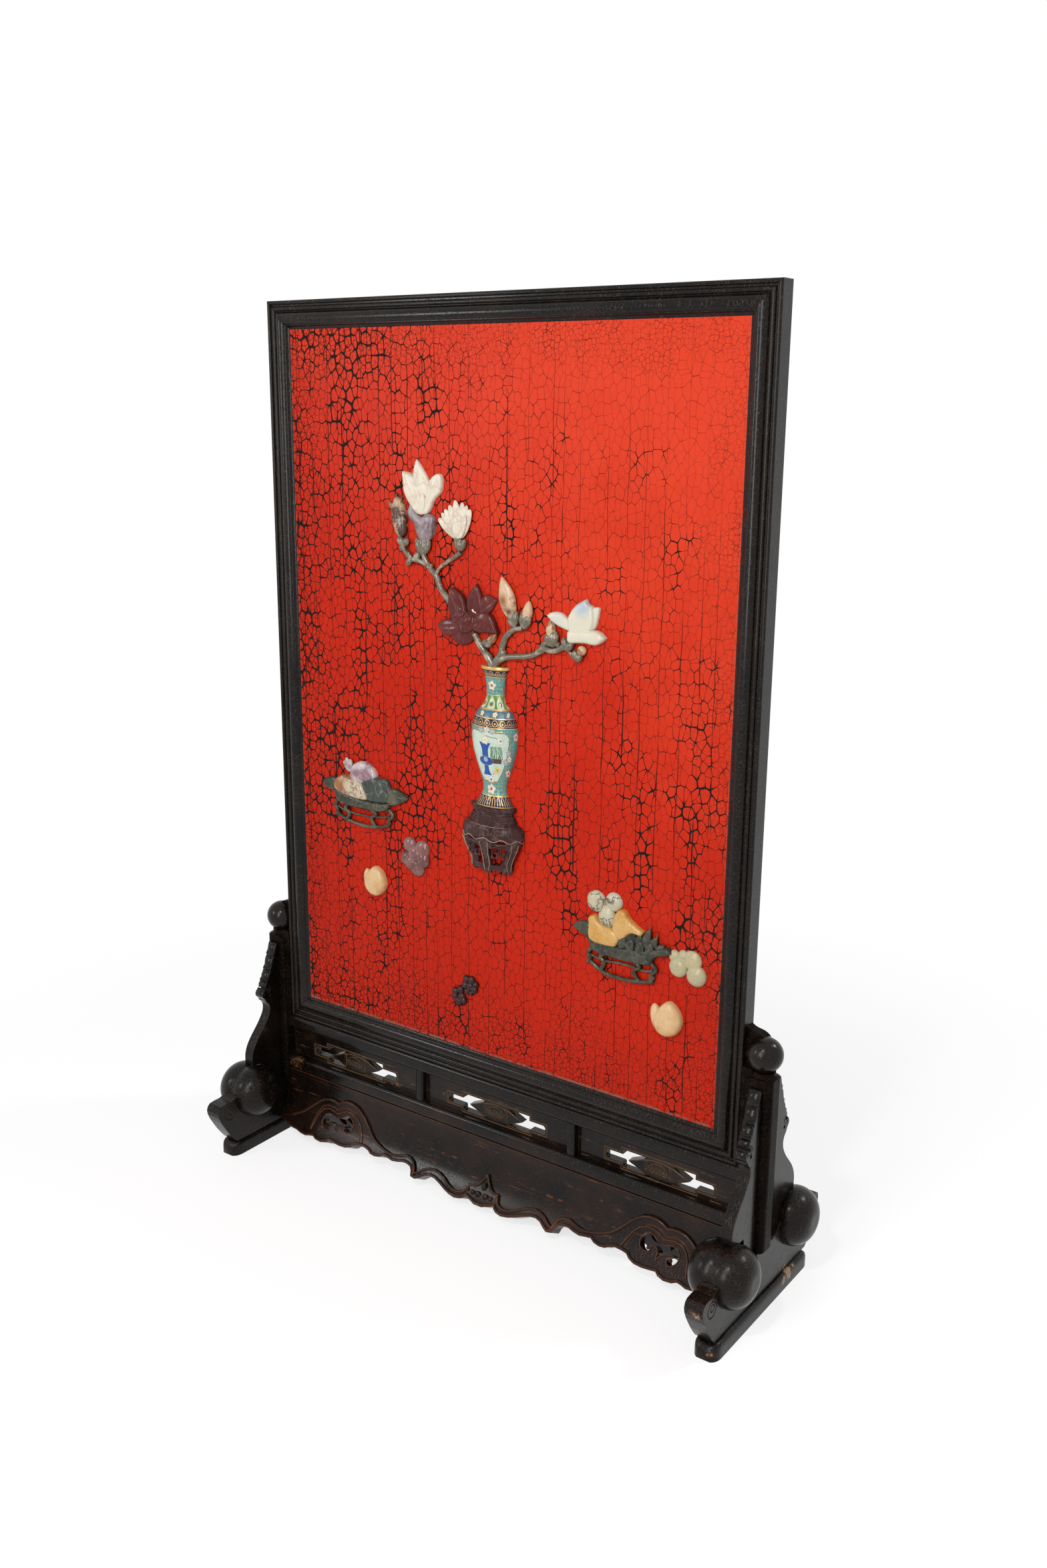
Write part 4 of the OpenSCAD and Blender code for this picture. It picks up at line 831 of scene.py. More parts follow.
class Finish(Enum):
    """The finishes of the screen."""

    BLACK = BlackLacquer()
    POST = BlackLacquer("post_lacquer", shine=0.02, craze=0.5)
    FOOT = BlackLacquer("foot_lacquer", shine=0.18, gloss=0.16, wear=0.45, dusty=0.7, craze=0.7, chips=(
        (0.516, 0.085, 0.020, 0.016), (0.516, 0.068, 0.018, 0.010), (0.516, 0.103, 0.026, 0.009),
        (0.479, -0.158, 0.104, 0.008), (0.503, -0.170, 0.101, 0.006), (0.495, -0.184, 0.094, 0.009),
        (0.507, -0.182, 0.070, 0.006), (0.525, -0.143, 0.088, 0.006), (0.505, -0.153, 0.012, 0.007)))
    FRAME = BlackLacquer("frame_lacquer", wear=0.2, dusty=0.3, craze=0.6, chips=(
        (-0.250, -0.020, 1.500, 0.006), (0.4775, -0.020, 1.496, 0.007), (0.470, 0.0, 1.500, 0.005)))
    CARVED = BlackLacquer(
        "carved_lacquer", black=(0.0036, 0.0024, 0.0020), brown=(0.022, 0.0095, 0.0065), rubbed=(0.24, 0.075, 0.020),
        wear=0.7, dusty=0.5, gloss=0.12
    )
    WORN = BlackLacquer(
        "worn_rim", black=(0.0075, 0.0048, 0.004), brown=(0.042, 0.016, 0.009), rubbed=(0.32, 0.105, 0.030),
        wear=0.75, dusty=0.4, craze=0.1, gloss=0.10
    )
    RAIL = BlackLacquer("rail_lacquer", brown=(0.020, 0.010, 0.007), dust=(0.17, 0.110, 0.050), wear=0.6, dusty=1.0,
                        bare=(0.19, 0.125, 0.055),
                        chips=((-0.455, -0.030, 0.142, 0.022), (-0.400, -0.045, 0.142, 0.013),
                               (-0.300, -0.050, 0.142, 0.009)))
    OPENWORK = BlackLacquer("openwork_lacquer", brown=(0.030, 0.016, 0.010), rubbed=(0.22, 0.12, 0.055), wear=0.8,
                            dusty=1.0)
    BEAD = BlackLacquer("bead_lacquer", wear=0.5, dusty=0.5, gloss=0.08)
    RED = RedCrackle()
    BATTEN = BlackLacquer("batten_wood", black=(0.03, 0.02, 0.014), brown=(0.07, 0.045, 0.03), wear=0.5, dusty=0.6)
    ENAMEL = Enamel()
    PURPLE = Stone("purple_stone", (0.034, 0.013, 0.013), (0.060, 0.027, 0.026), (0.26, 0.18, 0.15), glow=0.0,
                   edge_sheen_part=0.6, rough=0.14, shine=0.14)
    LINES = Stone("incised_lines", (0.40, 0.30, 0.23), (0.20, 0.13, 0.10), (0.50, 0.40, 0.32), glow=0.0, rough=0.5)
    WHITE = Stone("white_stone", (0.76, 0.69, 0.57), (0.56, 0.40, 0.25), (0.40, 0.28, 0.18), cloud_scale=18.0,
                  cloud_low=0.56, cloud_high=0.76, vein_part=0.4, glow=0.3)
    MILKY = Stone("milky_stone", (0.70, 0.65, 0.50), (0.62, 0.62, 0.56), (0.74, 0.72, 0.64), cloud_scale=14.0,
                  cloud_low=0.52, cloud_high=0.7, glow=0.3, tints=((0.167, 1.052, 0.021, (0.42, 0.49, 0.55)),))
    BROWN = Stone("brown_stone", (0.50, 0.31, 0.17), (0.075, 0.030, 0.022), (0.62, 0.50, 0.36), cloud_scale=20.0,
                  cloud_low=0.42, cloud_high=0.55, vein_part=0.5)
    BUD = Stone("bud_stone", (0.66, 0.45, 0.27), (0.24, 0.09, 0.035), (0.72, 0.60, 0.46), cloud_scale=36.0,
                cloud_low=0.50, cloud_high=0.62, tints=((0.024, 1.050, 0.013, (0.30, 0.11, 0.03)),
                                                        (0.036, 1.034, 0.009, (0.10, 0.035, 0.02))))
    GREY = Stone("grey_stone", (0.145, 0.085, 0.098), (0.38, 0.32, 0.33), (0.07, 0.04, 0.05), vein_part=0.5)
    AMETHYST = Stone("amethyst", (0.58, 0.51, 0.49), (0.28, 0.15, 0.19), (0.64, 0.60, 0.58), cloud_scale=30.0,
                     cloud_low=0.45, cloud_high=0.60, rough=0.10)
    MAROON = Stone("maroon_stone", (0.085, 0.010, 0.009), (0.130, 0.022, 0.018), (0.28, 0.14, 0.12), glow=0.0,
                   vein_part=0.10, edge_sheen_part=0.55, shine=0.24, rough=0.10)
    GREEN = Stone("green_stone", (0.122, 0.098, 0.060), (0.38, 0.33, 0.235), (0.05, 0.05, 0.035), cloud_scale=55.0,
                  cloud_low=0.48, cloud_high=0.66, vein_part=0.6, shine=0.6, rough=0.10)
    SPINACH = Stone("spinach_stone", (0.026, 0.027, 0.014), (0.105, 0.098, 0.060), (0.22, 0.20, 0.13),
                    cloud_low=0.45, cloud_high=0.65, glow=0.0, edge_sheen_part=0.5, shine=0.35, rough=0.10)
    SMOKE = Stone("smoke_stone", (0.022, 0.024, 0.018), (0.062, 0.064, 0.045), (0.22, 0.21, 0.16), glow=0.0,
                  edge_sheen_part=0.55, shine=0.25)
    MOSS = Stone("moss_stone", (0.024, 0.034, 0.030), (0.19, 0.20, 0.15), (0.35, 0.36, 0.28), cloud_scale=18.0,
                 cloud_low=0.50, cloud_high=0.72)
    AGATE = Stone("agate", (0.62, 0.53, 0.38), (0.34, 0.13, 0.035), (0.13, 0.055, 0.035), cloud_scale=24.0,
                  cloud_low=0.46, cloud_high=0.58, vein_part=0.7, rough=0.10)
    ORANGE = Stone("orange_stone", (0.60, 0.29, 0.055), (0.66, 0.40, 0.13), (0.36, 0.12, 0.02), cloud_scale=40.0)
    CREAM = Stone("cream_stone", (0.74, 0.50, 0.25), (0.64, 0.33, 0.12), (0.74, 0.64, 0.48), cloud_scale=20.0,
                  cloud_low=0.46, cloud_high=0.70)
    PALE = Stone("pale_stone", (0.44, 0.40, 0.25), (0.54, 0.46, 0.26), (0.26, 0.24, 0.15))
    SPOTTED = Stone("spotted_stone", (0.56, 0.52, 0.38), (0.50, 0.40, 0.22), (0.035, 0.050, 0.065), cloud_scale=20.0,
                    cloud_low=0.55, cloud_high=0.7, vein_part=0.95)
    GARNET = Stone("garnet_stone", (0.12, 0.036, 0.032), (0.26, 0.11, 0.10), (0.38, 0.22, 0.2), edge_sheen_part=0.5,
                   shine=0.45, rough=0.08)
    BERRY = Stone("berry_stone", (0.028, 0.005, 0.007), (0.05, 0.012, 0.012), (0.08, 0.03, 0.03), rough=0.06,
                  shine=0.25)


class Finishes:
    """Makes each finish once and gives it to objects."""

    def __init__(self) -> None:
        """Starts with none made."""
        self.made: dict[Finish, bpy.types.Material] = {}

    def put(self, thing: bpy.types.Object, finish: Finish) -> None:
        """Gives a whole object one finish.

        Args:
            thing: the object.
            finish: its finish.
        """
        if finish not in self.made:
            self.made[finish] = finish.value.build()
        thing.data.materials.clear()
        thing.data.materials.append(self.made[finish])


# ---------------------------------------------------------------- shaping


class Shape:
    """A mesh under construction, in metres, in the frame of the model.

    Attributes:
        face: where the front of the lacquered panel lies.
        corner_cut: share of a side that goes where a corner of an outline is cut.
        rows: places of the rows of points along a slab's rounded edge, as shares of its width.
        pitch: spacing of the points inside a slab, in millimetres.
        bank: height of a slab's rounded edge, as a share of its width.
        groove: depth and half width of a fold, in millimetres.
    """

    face: float = -7 * MM
    corner_cut: float = 0.22
    rows: tuple[float, ...] = (0.05, 0.20, 0.45, 0.80)
    pitch: float = 1.9
    bank: float = 0.8
    groove: float = 1.3

    def __init__(self, name: str) -> None:
        """Starts an empty mesh.

        Args:
            name: the name of the finished piece.
        """
        self.name = name
        self.bm = bmesh.new()

    @classmethod
    def rounded(cls, outline: Outline, sharp: float = 1.75) -> list[Pair]:
        """Cuts the corners of a closed outline twice, but for its sharp tips.

        Args:
            outline: its corners.
            sharp: corners that turn tighter than this angle, in radians, are kept.

        Returns:
            The smoother outline.
        """
        points = [Vector(c) for c in outline]
        kept = {
            tuple(here) for before, here, after in zip(points[-1:] + points, points, points[1:] + points[:1])
            if (before - here).angle(after - here, math.pi) < sharp
        }
        for _ in range(2):
            cut = []
            for here, after in zip(points, points[1:] + points[:1]):
                cut.append(here if tuple(here) in kept else here.lerp(after, cls.corner_cut))
                if tuple(after) not in kept:
                    cut.append(here.lerp(after, 1 - cls.corner_cut))
            points = cut
        return [tuple(c) for c in points]

    @staticmethod
    def _gap(point: Vector, lines: Sequence[tuple[Vector, Vector]]) -> float:
        """Distance from a point to the nearest of some straight lines.

        Args:
            point: the point.
            lines: the ends of each line.

        Returns:
            The distance.
        """
        best = math.inf
        for a, b in lines:
            span = b - a
            part = max(0.0, min(1.0, (point - a).dot(span) / max(span.length_squared, 1e-9)))
            best = min(best, (point - a - span * part).length)
        return best

    @staticmethod
    def _within(point: Vector, sides: Sequence[tuple[Vector, Vector]]) -> bool:
        """Whether a point lies within a closed outline with these sides.

        Args:
            point: the point.
            sides: the ends of each side.

        Returns:
            Whether it does.
        """
        hits = 0
        for a, b in sides:
            if (a.y > point.y) != (b.y > point.y):
                hits += point.x < a.x + (point.y - a.y) / (b.y - a.y) * (b.x - a.x)
        return hits % 2 == 1

    def _filling(self, sides: Sequence[tuple[Vector, Vector]], edge: float) -> list[Vector]:
        """Spreads points over a slab: rows along its rounded edge and a staggered grid.

        Args:
            sides: the sides of its outline.
            edge: width of the rounded edge.

        Returns:
            The points.
        """
        inward = 1.0 if sum(a.x * b.y - b.x * a.y for a, b in sides) > 0 else -1.0
        spots = []
        for depth in self.rows:
            for a, b in sides:
                spot = a.lerp(b, 0.5) + Vector((a.y - b.y, b.x - a.x)).normalized() * inward * depth * edge
                if self._within(spot, sides) and self._gap(spot, sides) > depth * edge * 0.96:
                    spots.append(spot)
        xs, zs = [a.x for a, _ in sides], [a.y for a, _ in sides]
        for i in range(int((max(xs) - min(xs)) / self.pitch) + 1):
            for k in range(int((max(zs) - min(zs)) / self.pitch) + 1):
                spot = Vector((min(xs) + (i + 0.5 * (k % 2)) * self.pitch, min(zs) + k * self.pitch))
                if self._within(spot, sides) and self._gap(spot, sides) > edge * 0.5:
                    spots.append(spot)
        return spots

    def slab(self, outline: Outline, thick: float, edge: float, crown: float = 0.0,
             folds: Sequence[tuple[float, float, float, float]] = ()) -> None:
        """Adds a flat stone with a rounded edge, lying on the panel.

        Args:
            outline: its corners on the panel, right of the middle and height, in millimetres.
            thick: how far it stands out, in millimetres.
            edge: width of the rounded edge, in millimetres.
            crown: rise from the edge to the middle, in millimetres.
            folds: grooves cut in it, each from one point to another.
        """
        rim = [Vector(c) for c in self.rounded(outline)]
        sides = list(zip(rim, rim[1:] + rim[:1]))
        inner = self._filling(sides, edge)
        coords, _, faces, *_ = delaunay_2d_cdt(rim + inner, [], [list(range(len(rim)))], 1, 1e-4)
        deepest = max((self._gap(c, sides) for c in inner), default=1.0)
        grooves = [(Vector(f[:2]), Vector(f[2:])) for f in folds]
        tops, lows = [], {}
        for c in coords:
            depth = self._gap(c, sides)
            ease = 1.0 - min(depth / edge, 1.0)
            rise = max(thick - edge * self.bank, 0.4) + edge * self.bank * math.sqrt(max(0.0, 1.0 - ease * ease))
            rise += crown * math.sin(min(depth / deepest, 1.0) * math.pi / 2)
            if grooves:
                rise -= self.groove * math.exp(-(self._gap(c, grooves) / self.groove) ** 2) * (1.0 - ease)
            tops.append(self.bm.verts.new((c.x * MM, self.face - rise * MM, c.y * MM)))
            if depth < 1e-3:
                lows[len(tops) - 1] = self.bm.verts.new((c.x * MM, self.face, c.y * MM))
        for tri in faces:
            self.bm.faces.new([tops[i] for i in tri])
        uses = Counter(tuple(sorted(pair)) for tri in faces for pair in zip(tri, (*tri[1:], tri[0])))
        for (a, b), count in uses.items():
            if count == 1 and a in lows and b in lows:
                self.bm.faces.new((tops[a], tops[b], lows[b], lows[a]))
        rims = {e for v in lows.values() for e in v.link_edges if e.is_boundary}
        bmesh.ops.holes_fill(self.bm, edges=list(rims), sides=0)

    def petal(self, base: Pair, tip: Pair, width: float, thick: float, out: float = 0.0,
              lift: float = 0.0, point: float = 0.6) -> None:
        """Adds a petal or bud scale that swells from its base and narrows to its tip.

        Args:
            base: its lower end on the panel, in millimetres.
            tip: its upper end.
            width: its greatest width.
            thick: its thickness.
            out: how far from the panel its middle lies.
            lift: how much further out its tip lies.
            point: how sharp the tip is, from 0 to 1.
        """
        made = bmesh.ops.create_uvsphere(self.bm, u_segments=18, v_segments=14, radius=1.0)
        start, end = Vector(base), Vector(tip)
        length = (end - start).length
        along = (end - start).normalized()
        across = Vector((along.y, -along.x))
        for vert in made["verts"]:
            part = (vert.co.z + 1) / 2
            swell = 1.0 - point * max(0.0, part - 0.45) ** 1.5
            flat = start + along * (part * length) + across * (vert.co.x * width / 2 * swell)
            rise = out + lift * part * part - vert.co.y * thick / 2
            vert.co = Vector((flat.x * MM, self.face - rise * MM, flat.y * MM))

    def pebble(self, x: float, z: float, radius: float, thick: float, out: float = 0.0) -> None:
        """Adds a round stone, flattened against the panel."""
        self.petal((x, z - radius), (x, z + radius), radius * 2, thick * 2, out, point=0.0)

    @staticmethod
    def _bar(kind: str, radius: float, smooth: int) -> tuple[bpy.types.Curve, bpy.types.Spline]:
        """Starts a curve with a round section and closed ends.

        Args:
            kind: the type of its spline.
            radius: its radius in metres.
            smooth: fineness of its section.

        Returns:
            The curve and its spline.
        """
        curve = bpy.data.curves.new("bar", "CURVE")
        curve.dimensions = "3D"
        curve.bevel_depth = radius
        curve.bevel_resolution = smooth
        curve.use_fill_caps = True
        return curve, curve.splines.new(kind)

    def _take(self, curve: bpy.types.Curve) -> None:
        """Adds a curve's mesh to the piece and removes the curve.

        Args:
            curve: the curve.
        """
        thing = bpy.data.objects.new("bar", curve)
        mesh = bpy.data.meshes.new_from_object(thing)
        self.bm.from_mesh(mesh)
        bpy.data.objects.remove(thing)
        bpy.data.curves.remove(curve)
        bpy.data.meshes.remove(mesh)

    def limb(self, path: Sequence[Place], out: float, sides: int = 10) -> None:
        """Adds a twig, vein or bar that bends smoothly along a path.

        Args:
            path: points on the panel and the radius there, in millimetres.
            out: how far from the panel its middle lies.
            sides: sides of its section.
        """
        curve, spline = self._bar("BEZIER", 1.0 * MM, sides // 2)
        spline.bezier_points.add(len(path) - 1)
        for knot, (x, z, radius) in zip(spline.bezier_points, path):
            knot.co = (x * MM, self.face - out * MM, z * MM)
            knot.handle_left_type = knot.handle_right_type = "AUTO"
            knot.radius = radius
        spline.resolution_u = 6
        self._take(curve)

    def ribbon(self, points: Iterable[Place], radius: float) -> None:
        """Adds a thin round bead through points of space.

        Args:
            points: its path in metres.
            radius: its radius in metres.
        """
        places = list(points)
        curve, spline = self._bar("POLY", radius, 2)
        spline.points.add(len(places) - 1)
        for knot, place in zip(spline.points, places):
            knot.co = (*place, 1.0)
        self._take(curve)

    def soften(self, factor: float) -> None:
        """Evens out the mesh a little, as polishing does."""
        bmesh.ops.smooth_vert(
            self.bm, verts=self.bm.verts, factor=factor, use_axis_x=True, use_axis_y=True, use_axis_z=True
        )

    def finish(self, body: str, slot: str, replaces: Sequence[str] = ()) -> bpy.types.Object:
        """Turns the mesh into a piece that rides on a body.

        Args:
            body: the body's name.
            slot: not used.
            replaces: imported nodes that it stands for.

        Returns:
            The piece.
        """
        bmesh.ops.remove_doubles(self.bm, verts=self.bm.verts, dist=0.01 * MM)
        bmesh.ops.recalc_face_normals(self.bm, faces=self.bm.faces)
        mesh = bpy.data.meshes.new(self.name)
        self.bm.to_mesh(mesh)
        self.bm.free()
        mesh.polygons.foreach_set("use_smooth", [True] * len(mesh.polygons))
        mesh.set_sharp_from_angle(angle=math.radians(50))
        piece = bpy.data.objects.new(self.name, mesh)
        bpy.context.scene.collection.objects.link(piece)
        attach(piece, body)
        if replaces:
            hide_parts(*replaces)
        LOG.info("made %s", self.name)
        return piece


# ---------------------------------------------------------------- sub-assemblies


@dataclass
class SubAssembly:
    """Dressed pieces that belong together and ride on one body."""

    finishes: Finishes
    body: str = "screen"

    def _done(self, shape: Shape, slot: str, finish: Finish, *nodes: str) -> None:
        """Finishes a piece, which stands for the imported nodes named, and dresses it."""
        self.finishes.put(shape.finish(self.body, slot, nodes), finish)


@dataclass
class FlowerSpray(SubAssembly):
    """The flowering branches above the vase: twigs, cups, buds and blossoms."""

    def left_magnolia(self) -> None:
        """The large white blossom at the upper left, of four petals."""
        s = Shape("left_magnolia_petals")
        s.slab([(-160, 1212), (-158, 1229), (-155, 1243), (-150, 1256), (-143, 1249), (-134, 1237), (-126, 1226),
                (-122, 1214), (-124, 1195), (-132, 1180), (-145, 1178), (-155, 1195)], 6, 3, crown=1.5,
               folds=((-148, 1252, -140, 1200),))
        s.slab([(-177, 1237), (-168, 1236), (-157, 1233), (-149, 1222), (-142, 1208), (-136, 1192), (-133, 1178),
                (-139, 1171), (-148, 1172), (-157, 1180), (-167, 1192), (-174, 1205), (-176, 1220)], 9, 4, crown=2,
               folds=((-172, 1232, -146, 1180),))
        s.slab([(-123, 1224), (-116, 1231), (-109, 1235), (-101, 1235), (-97, 1227), (-98, 1214), (-101, 1206),
                (-110, 1199), (-117, 1191), (-121, 1181), (-128, 1172), (-137, 1171), (-138, 1178), (-133, 1190),
                (-129, 1204), (-127, 1216)], 8, 4, crown=1.5, folds=((-102, 1230, -130, 1180),))
        s.petal((-139, 1171), (-133, 1204), 16, 9, 7, 1.5, 0.9)
        self._done(s, "white_stone", Finish.WHITE, "left_magnolia")

    def daisy(self) -> None:
        """The small white blossom with narrow petals."""
        s = Shape("daisy_petals")
        s.slab([(-98, 1166), (-90, 1176), (-76, 1184), (-66, 1190), (-55, 1187), (-46, 1180), (-48, 1164), (-56, 1146),
                (-66, 1136), (-80, 1150)], 5, 4, crown=1)
        for tip, width, out in (((-105, 1167), 14, 4), ((-42, 1184), 15, 4), ((-98, 1176), 13, 5), ((-48, 1190), 12, 5),
                                ((-91, 1182), 14, 5.5), ((-56, 1194), 14, 5.5), ((-81, 1189), 14, 6.5),
                                ((-69, 1197), 15, 7), ((-49, 1174), 11, 7)):
            s.petal((-64, 1137), tip, width + 2.5, 6, out, 1.5, 0.15)
        self._done(s, "white_stone", Finish.WHITE, "daisy")

    def buds(self) -> None:
        """The closed buds of brown, grey and veined stone."""
        s = Shape("brown_bud_scales")
        s.slab([(-206, 1187), (-200, 1184), (-196, 1193), (-191, 1201), (-186, 1195), (-179, 1195), (-176, 1180),
                (-172, 1165), (-171, 1150), (-173, 1137), (-182, 1133), (-191, 1138), (-198, 1149), (-201, 1162),
                (-200, 1174)], 8, 5, crown=2)
        s.petal((-183, 1134), (-190, 1178), 17, 9, 7, 1, 0.4)
        for tip in ((-207, 1190), (-191, 1204), (-178, 1199)):
            s.petal((-190, 1168), tip, 9, 7, 4, 0.5, 1.2)
        self._done(s, "brown_stone", Finish.BROWN, "brown_bud")
        s = Shape("grey_bud_scales")
        s.slab([(-170, 1176), (-163, 1187), (-155, 1178), (-147, 1160), (-146, 1148), (-156, 1157), (-166, 1164)], 6, 3)
        s.slab([(-158, 1183), (-148, 1171), (-139, 1166), (-131, 1173), (-118, 1172), (-112, 1163), (-113, 1148),
                (-119, 1136), (-129, 1130), (-142, 1130), (-149, 1140), (-154, 1156), (-160, 1169)], 9, 5, crown=1.5)
        s.petal((-133, 1128), (-121, 1163), 25, 9, 7.5, 1, 0.3)
        self._done(s, "grey_stone", Finish.GREY, "grey_bud")
        s = Shape("right_bud_scales")
        s.petal((38, 1022), (18, 1086), 31, 13, 5, 0, 1.5)
        s.petal((40, 1022), (27, 1070), 18, 12, 7, 0, 1.2)
        s.petal((64, 1018), (70, 1053), 18, 12, 5, 0, 0.8)
        s.petal((110, 1000), (110, 1028), 17, 12, 5, 0, 0.7)
        s.petal((158, 986), (174, 988), 15, 12, 5, 0, 0.3)
        s.petal((-10, 979), (9, 997), 13, 11, 5, 0, 0.8)
        self._done(s, "brown_stone", Finish.BUD, "right_buds")

    def cups(self) -> None:
        """The grey-green cups under the buds and blossoms, by foot, tips and width."""
        for name, node, point, cups in (
            ("left_cups", "left_calyxes", 0.4, (
                ((-177, 1121), ((-187, 1135), (-166, 1132)), 13), ((-12, 975), ((-12, 988), (0, 986)), 12),
                ((-137, 1109), ((-150, 1134), (-136, 1137), (-123, 1134)), 16),
                ((-63, 1119), ((-71, 1139), (-61, 1140), (-52, 1138)), 12),
            )),
            ("right_cups", "right_calyxes", 0.5, (
                ((41, 1010), ((33, 1032), (48, 1036)), 15), ((60, 1009), ((58, 1036), (72, 1033)), 15),
                ((112, 987), ((103, 1008), (120, 1013)), 18), ((138, 985), ((134, 1004), (152, 998)), 13),
                ((155, 971), ((154, 987), (168, 981)), 13),
            )),
        ):
            s = Shape(name)
            for foot, tips, width in cups:
                for i, tip in enumerate(tips):
                    s.petal(foot, tip, width, 11, 5 + i % 2 * 1.5, 0.5, point)
            self._done(s, "green_stone", Finish.GREEN, node)

    def peony(self) -> None:
        """The dark red blossom: six outer petals round a folded heart."""
        s = Shape("peony_petals")
        rim = (
            ([(-84, 1024), (-84, 1044), (-80, 1062), (-70, 1060), (-60, 1054), (-52, 1044), (-48, 1030), (-48, 1016),
              (-58, 1010), (-74, 1012)], 11, (-58, 1014, -78, 1056)),
            ([(-50, 1034), (-49, 1050), (-42, 1060), (-31, 1071), (-24, 1061), (-19, 1046), (-20, 1030), (-30, 1016),
              (-44, 1018)], 7.5, (-36, 1020, -32, 1066)),
            ([(-22, 1050), (-13, 1057), (-3, 1054), (9, 1049), (2, 1038), (-4, 1028), (-18, 1020), (-28, 1024)], 5.5,
             (-20, 1030, 2, 1046)),
            ([(-40, 1008), (-32, 1022), (-18, 1030), (-2, 1026), (5, 1016), (9, 1006), (13, 997), (-2, 997), (-18, 996),
              (-34, 997)], 10.5, (-30, 1010, 4, 1002)),
            ([(-82, 983), (-72, 994), (-60, 1004), (-40, 1004), (-30, 992), (-41, 978), (-56, 972), (-70, 974)], 6.5,
             (-52, 1000, -56, 978)),
            ([(-108, 1001), (-97, 1010), (-84, 1013), (-66, 1010), (-56, 1000), (-66, 989), (-82, 984), (-97, 987)],
             9.5, (-64, 1002, -98, 998)),
        )
        for outline, thick, fold in rim:
            s.slab(outline, thick, 3.4, crown=1.8, folds=(fold,))
        s.slab([(-76, 1014), (-69, 1024), (-62, 1038), (-54, 1030), (-38, 1024), (-28, 1018), (-28, 1006), (-38, 996),
                (-52, 991), (-65, 995), (-75, 1004)], 13.5, 5, crown=2,
               folds=((-66, 1024, -50, 1000), (-36, 1018, -52, 1002)))
        s.petal((-70, 1018), (-50, 996), 13, 7, 13.5, 1, 0.6)
        s.petal((-60, 1022), (-42, 1000), 13, 7, 14, 1, 0.6)
        s.petal((-34, 1020), (-52, 1004), 14, 7, 15, 0, 0.6)
        s.petal((-48, 1026), (-66, 1008), 11, 6, 15, 0, 0.6)
        self._done(s, "maroon_stone", Finish.MAROON, "peony")
        s = Shape("peony_pale_fold")
        s.petal((-47, 1036), (-27, 1025), 7, 8, 4.5, 2, 0.3)
        self._done(s, "white_stone", Finish.WHITE)

    def right_magnolia(self) -> None:
        """The open white blossom at the right, of four petals."""
        s = Shape("right_magnolia_petals")
        s.slab([(101, 1034), (108, 1039), (118, 1041), (129, 1040), (139, 1032), (150, 1030), (154, 1012), (140, 1014),
                (124, 1019), (112, 1024)], 7, 4.5, crown=1)
        s.slab([(188, 1054), (195, 1053), (195, 1045), (189, 1021), (176, 1012), (168, 1030), (178, 1050)], 6.5, 4)
        s.slab([(139, 1032), (146, 1045), (156, 1056), (172, 1064), (177, 1056), (186, 1054), (189, 1038), (186, 1020),
                (172, 1008), (150, 1006), (142, 1015)], 9, 5.5, crown=2)
        s.slab([(141, 1014), (150, 1018), (172, 1018), (188, 1020), (200, 1017), (208, 1009), (201, 1002), (191, 997),
                (172, 999), (160, 998), (146, 996), (141, 1000)], 11, 5, crown=1.5)
        self._done(s, "white_stone", Finish.MILKY, "right_magnolia")

    def _knots(self, s: Shape, lean: Pair, wide: float, knots: Sequence[Place]) -> None:
        """Adds knots to the twigs.

        Args:
            s: the piece.
            lean: the way from a knot's middle to its end, in radii.
            wide: its width, in radii.
            knots: places and radii.
        """
        for x, z, radius in knots:
            dx, dz = radius * lean[0], radius * lean[1]
            s.petal((x - dx, z - dz), (x + dx, z + dz), radius * wide, radius * 1.6, 5, 0, 0.2)

    def twigs(self) -> None:
        """The grey-green branches with their knots."""
        s = Shape("left_twigs")
        s.limb([(4, 943, 7), (-6, 957, 6.2), (-16, 968, 5.2), (-26, 980, 5), (-34, 993, 4.6)], 5)
        s.limb([(-78, 1034, 5), (-90, 1046, 5.4), (-102, 1060, 4.8), (-110, 1077, 4.6), (-124, 1090, 4.8),
                (-133, 1103, 4.4), (-138, 1113, 4.4)], 5)
        s.limb([(-126, 1093, 4.4), (-142, 1098, 4.2), (-158, 1100, 4), (-167, 1096, 4.6)], 4.6)
        s.limb([(-160, 1097, 4), (-167, 1107, 3.8), (-176, 1114, 3.6), (-179, 1124, 4.2)], 4.6)
        s.limb([(-111, 1080, 3), (-105, 1089, 3), (-92, 1099, 3.3), (-74, 1109, 3.8), (-61, 1118, 4.6)], 4)
        s.limb([(-22, 978, 3.4), (-16, 981, 4), (-10, 985, 4)], 4.5)
        self._knots(s, (0.6, 1.0), 1.8, ((-166, 1095, 6), (-149, 1106, 7), (-180, 1117, 5), (-168, 1107, 4.6),
                                         (-122, 1090, 5.6), (-103, 1061, 5.6), (-24, 977, 5.6)))
        s.soften(0.3)
        self._done(s, "green_stone", Finish.GREEN, "left_branch")
        s = Shape("right_twigs")
        s.limb([(6, 944, 7), (10, 955, 7), (18, 966, 6.4), (20, 978, 5), (24, 990, 5), (32, 1000, 4.8), (42, 1007, 4.4),
                (58, 1011, 4)], 5)
        s.limb([(10, 953, 5.4), (24, 961, 5.2), (44, 965, 4.6), (66, 968, 4.8), (84, 974, 5), (96, 983, 5),
                (112, 981, 4.2), (128, 986, 4.6), (141, 992, 4.6)], 5)
        s.limb([(92, 980, 4), (98, 990, 4.4), (108, 993, 4.6), (128, 992, 4)], 5)
        s.limb([(136, 990, 2.8), (142, 985, 2.8), (150, 977, 3), (158, 975, 4)], 4)
        s.limb([(46, 1006, 3.4), (45, 1012, 4.2)], 5)
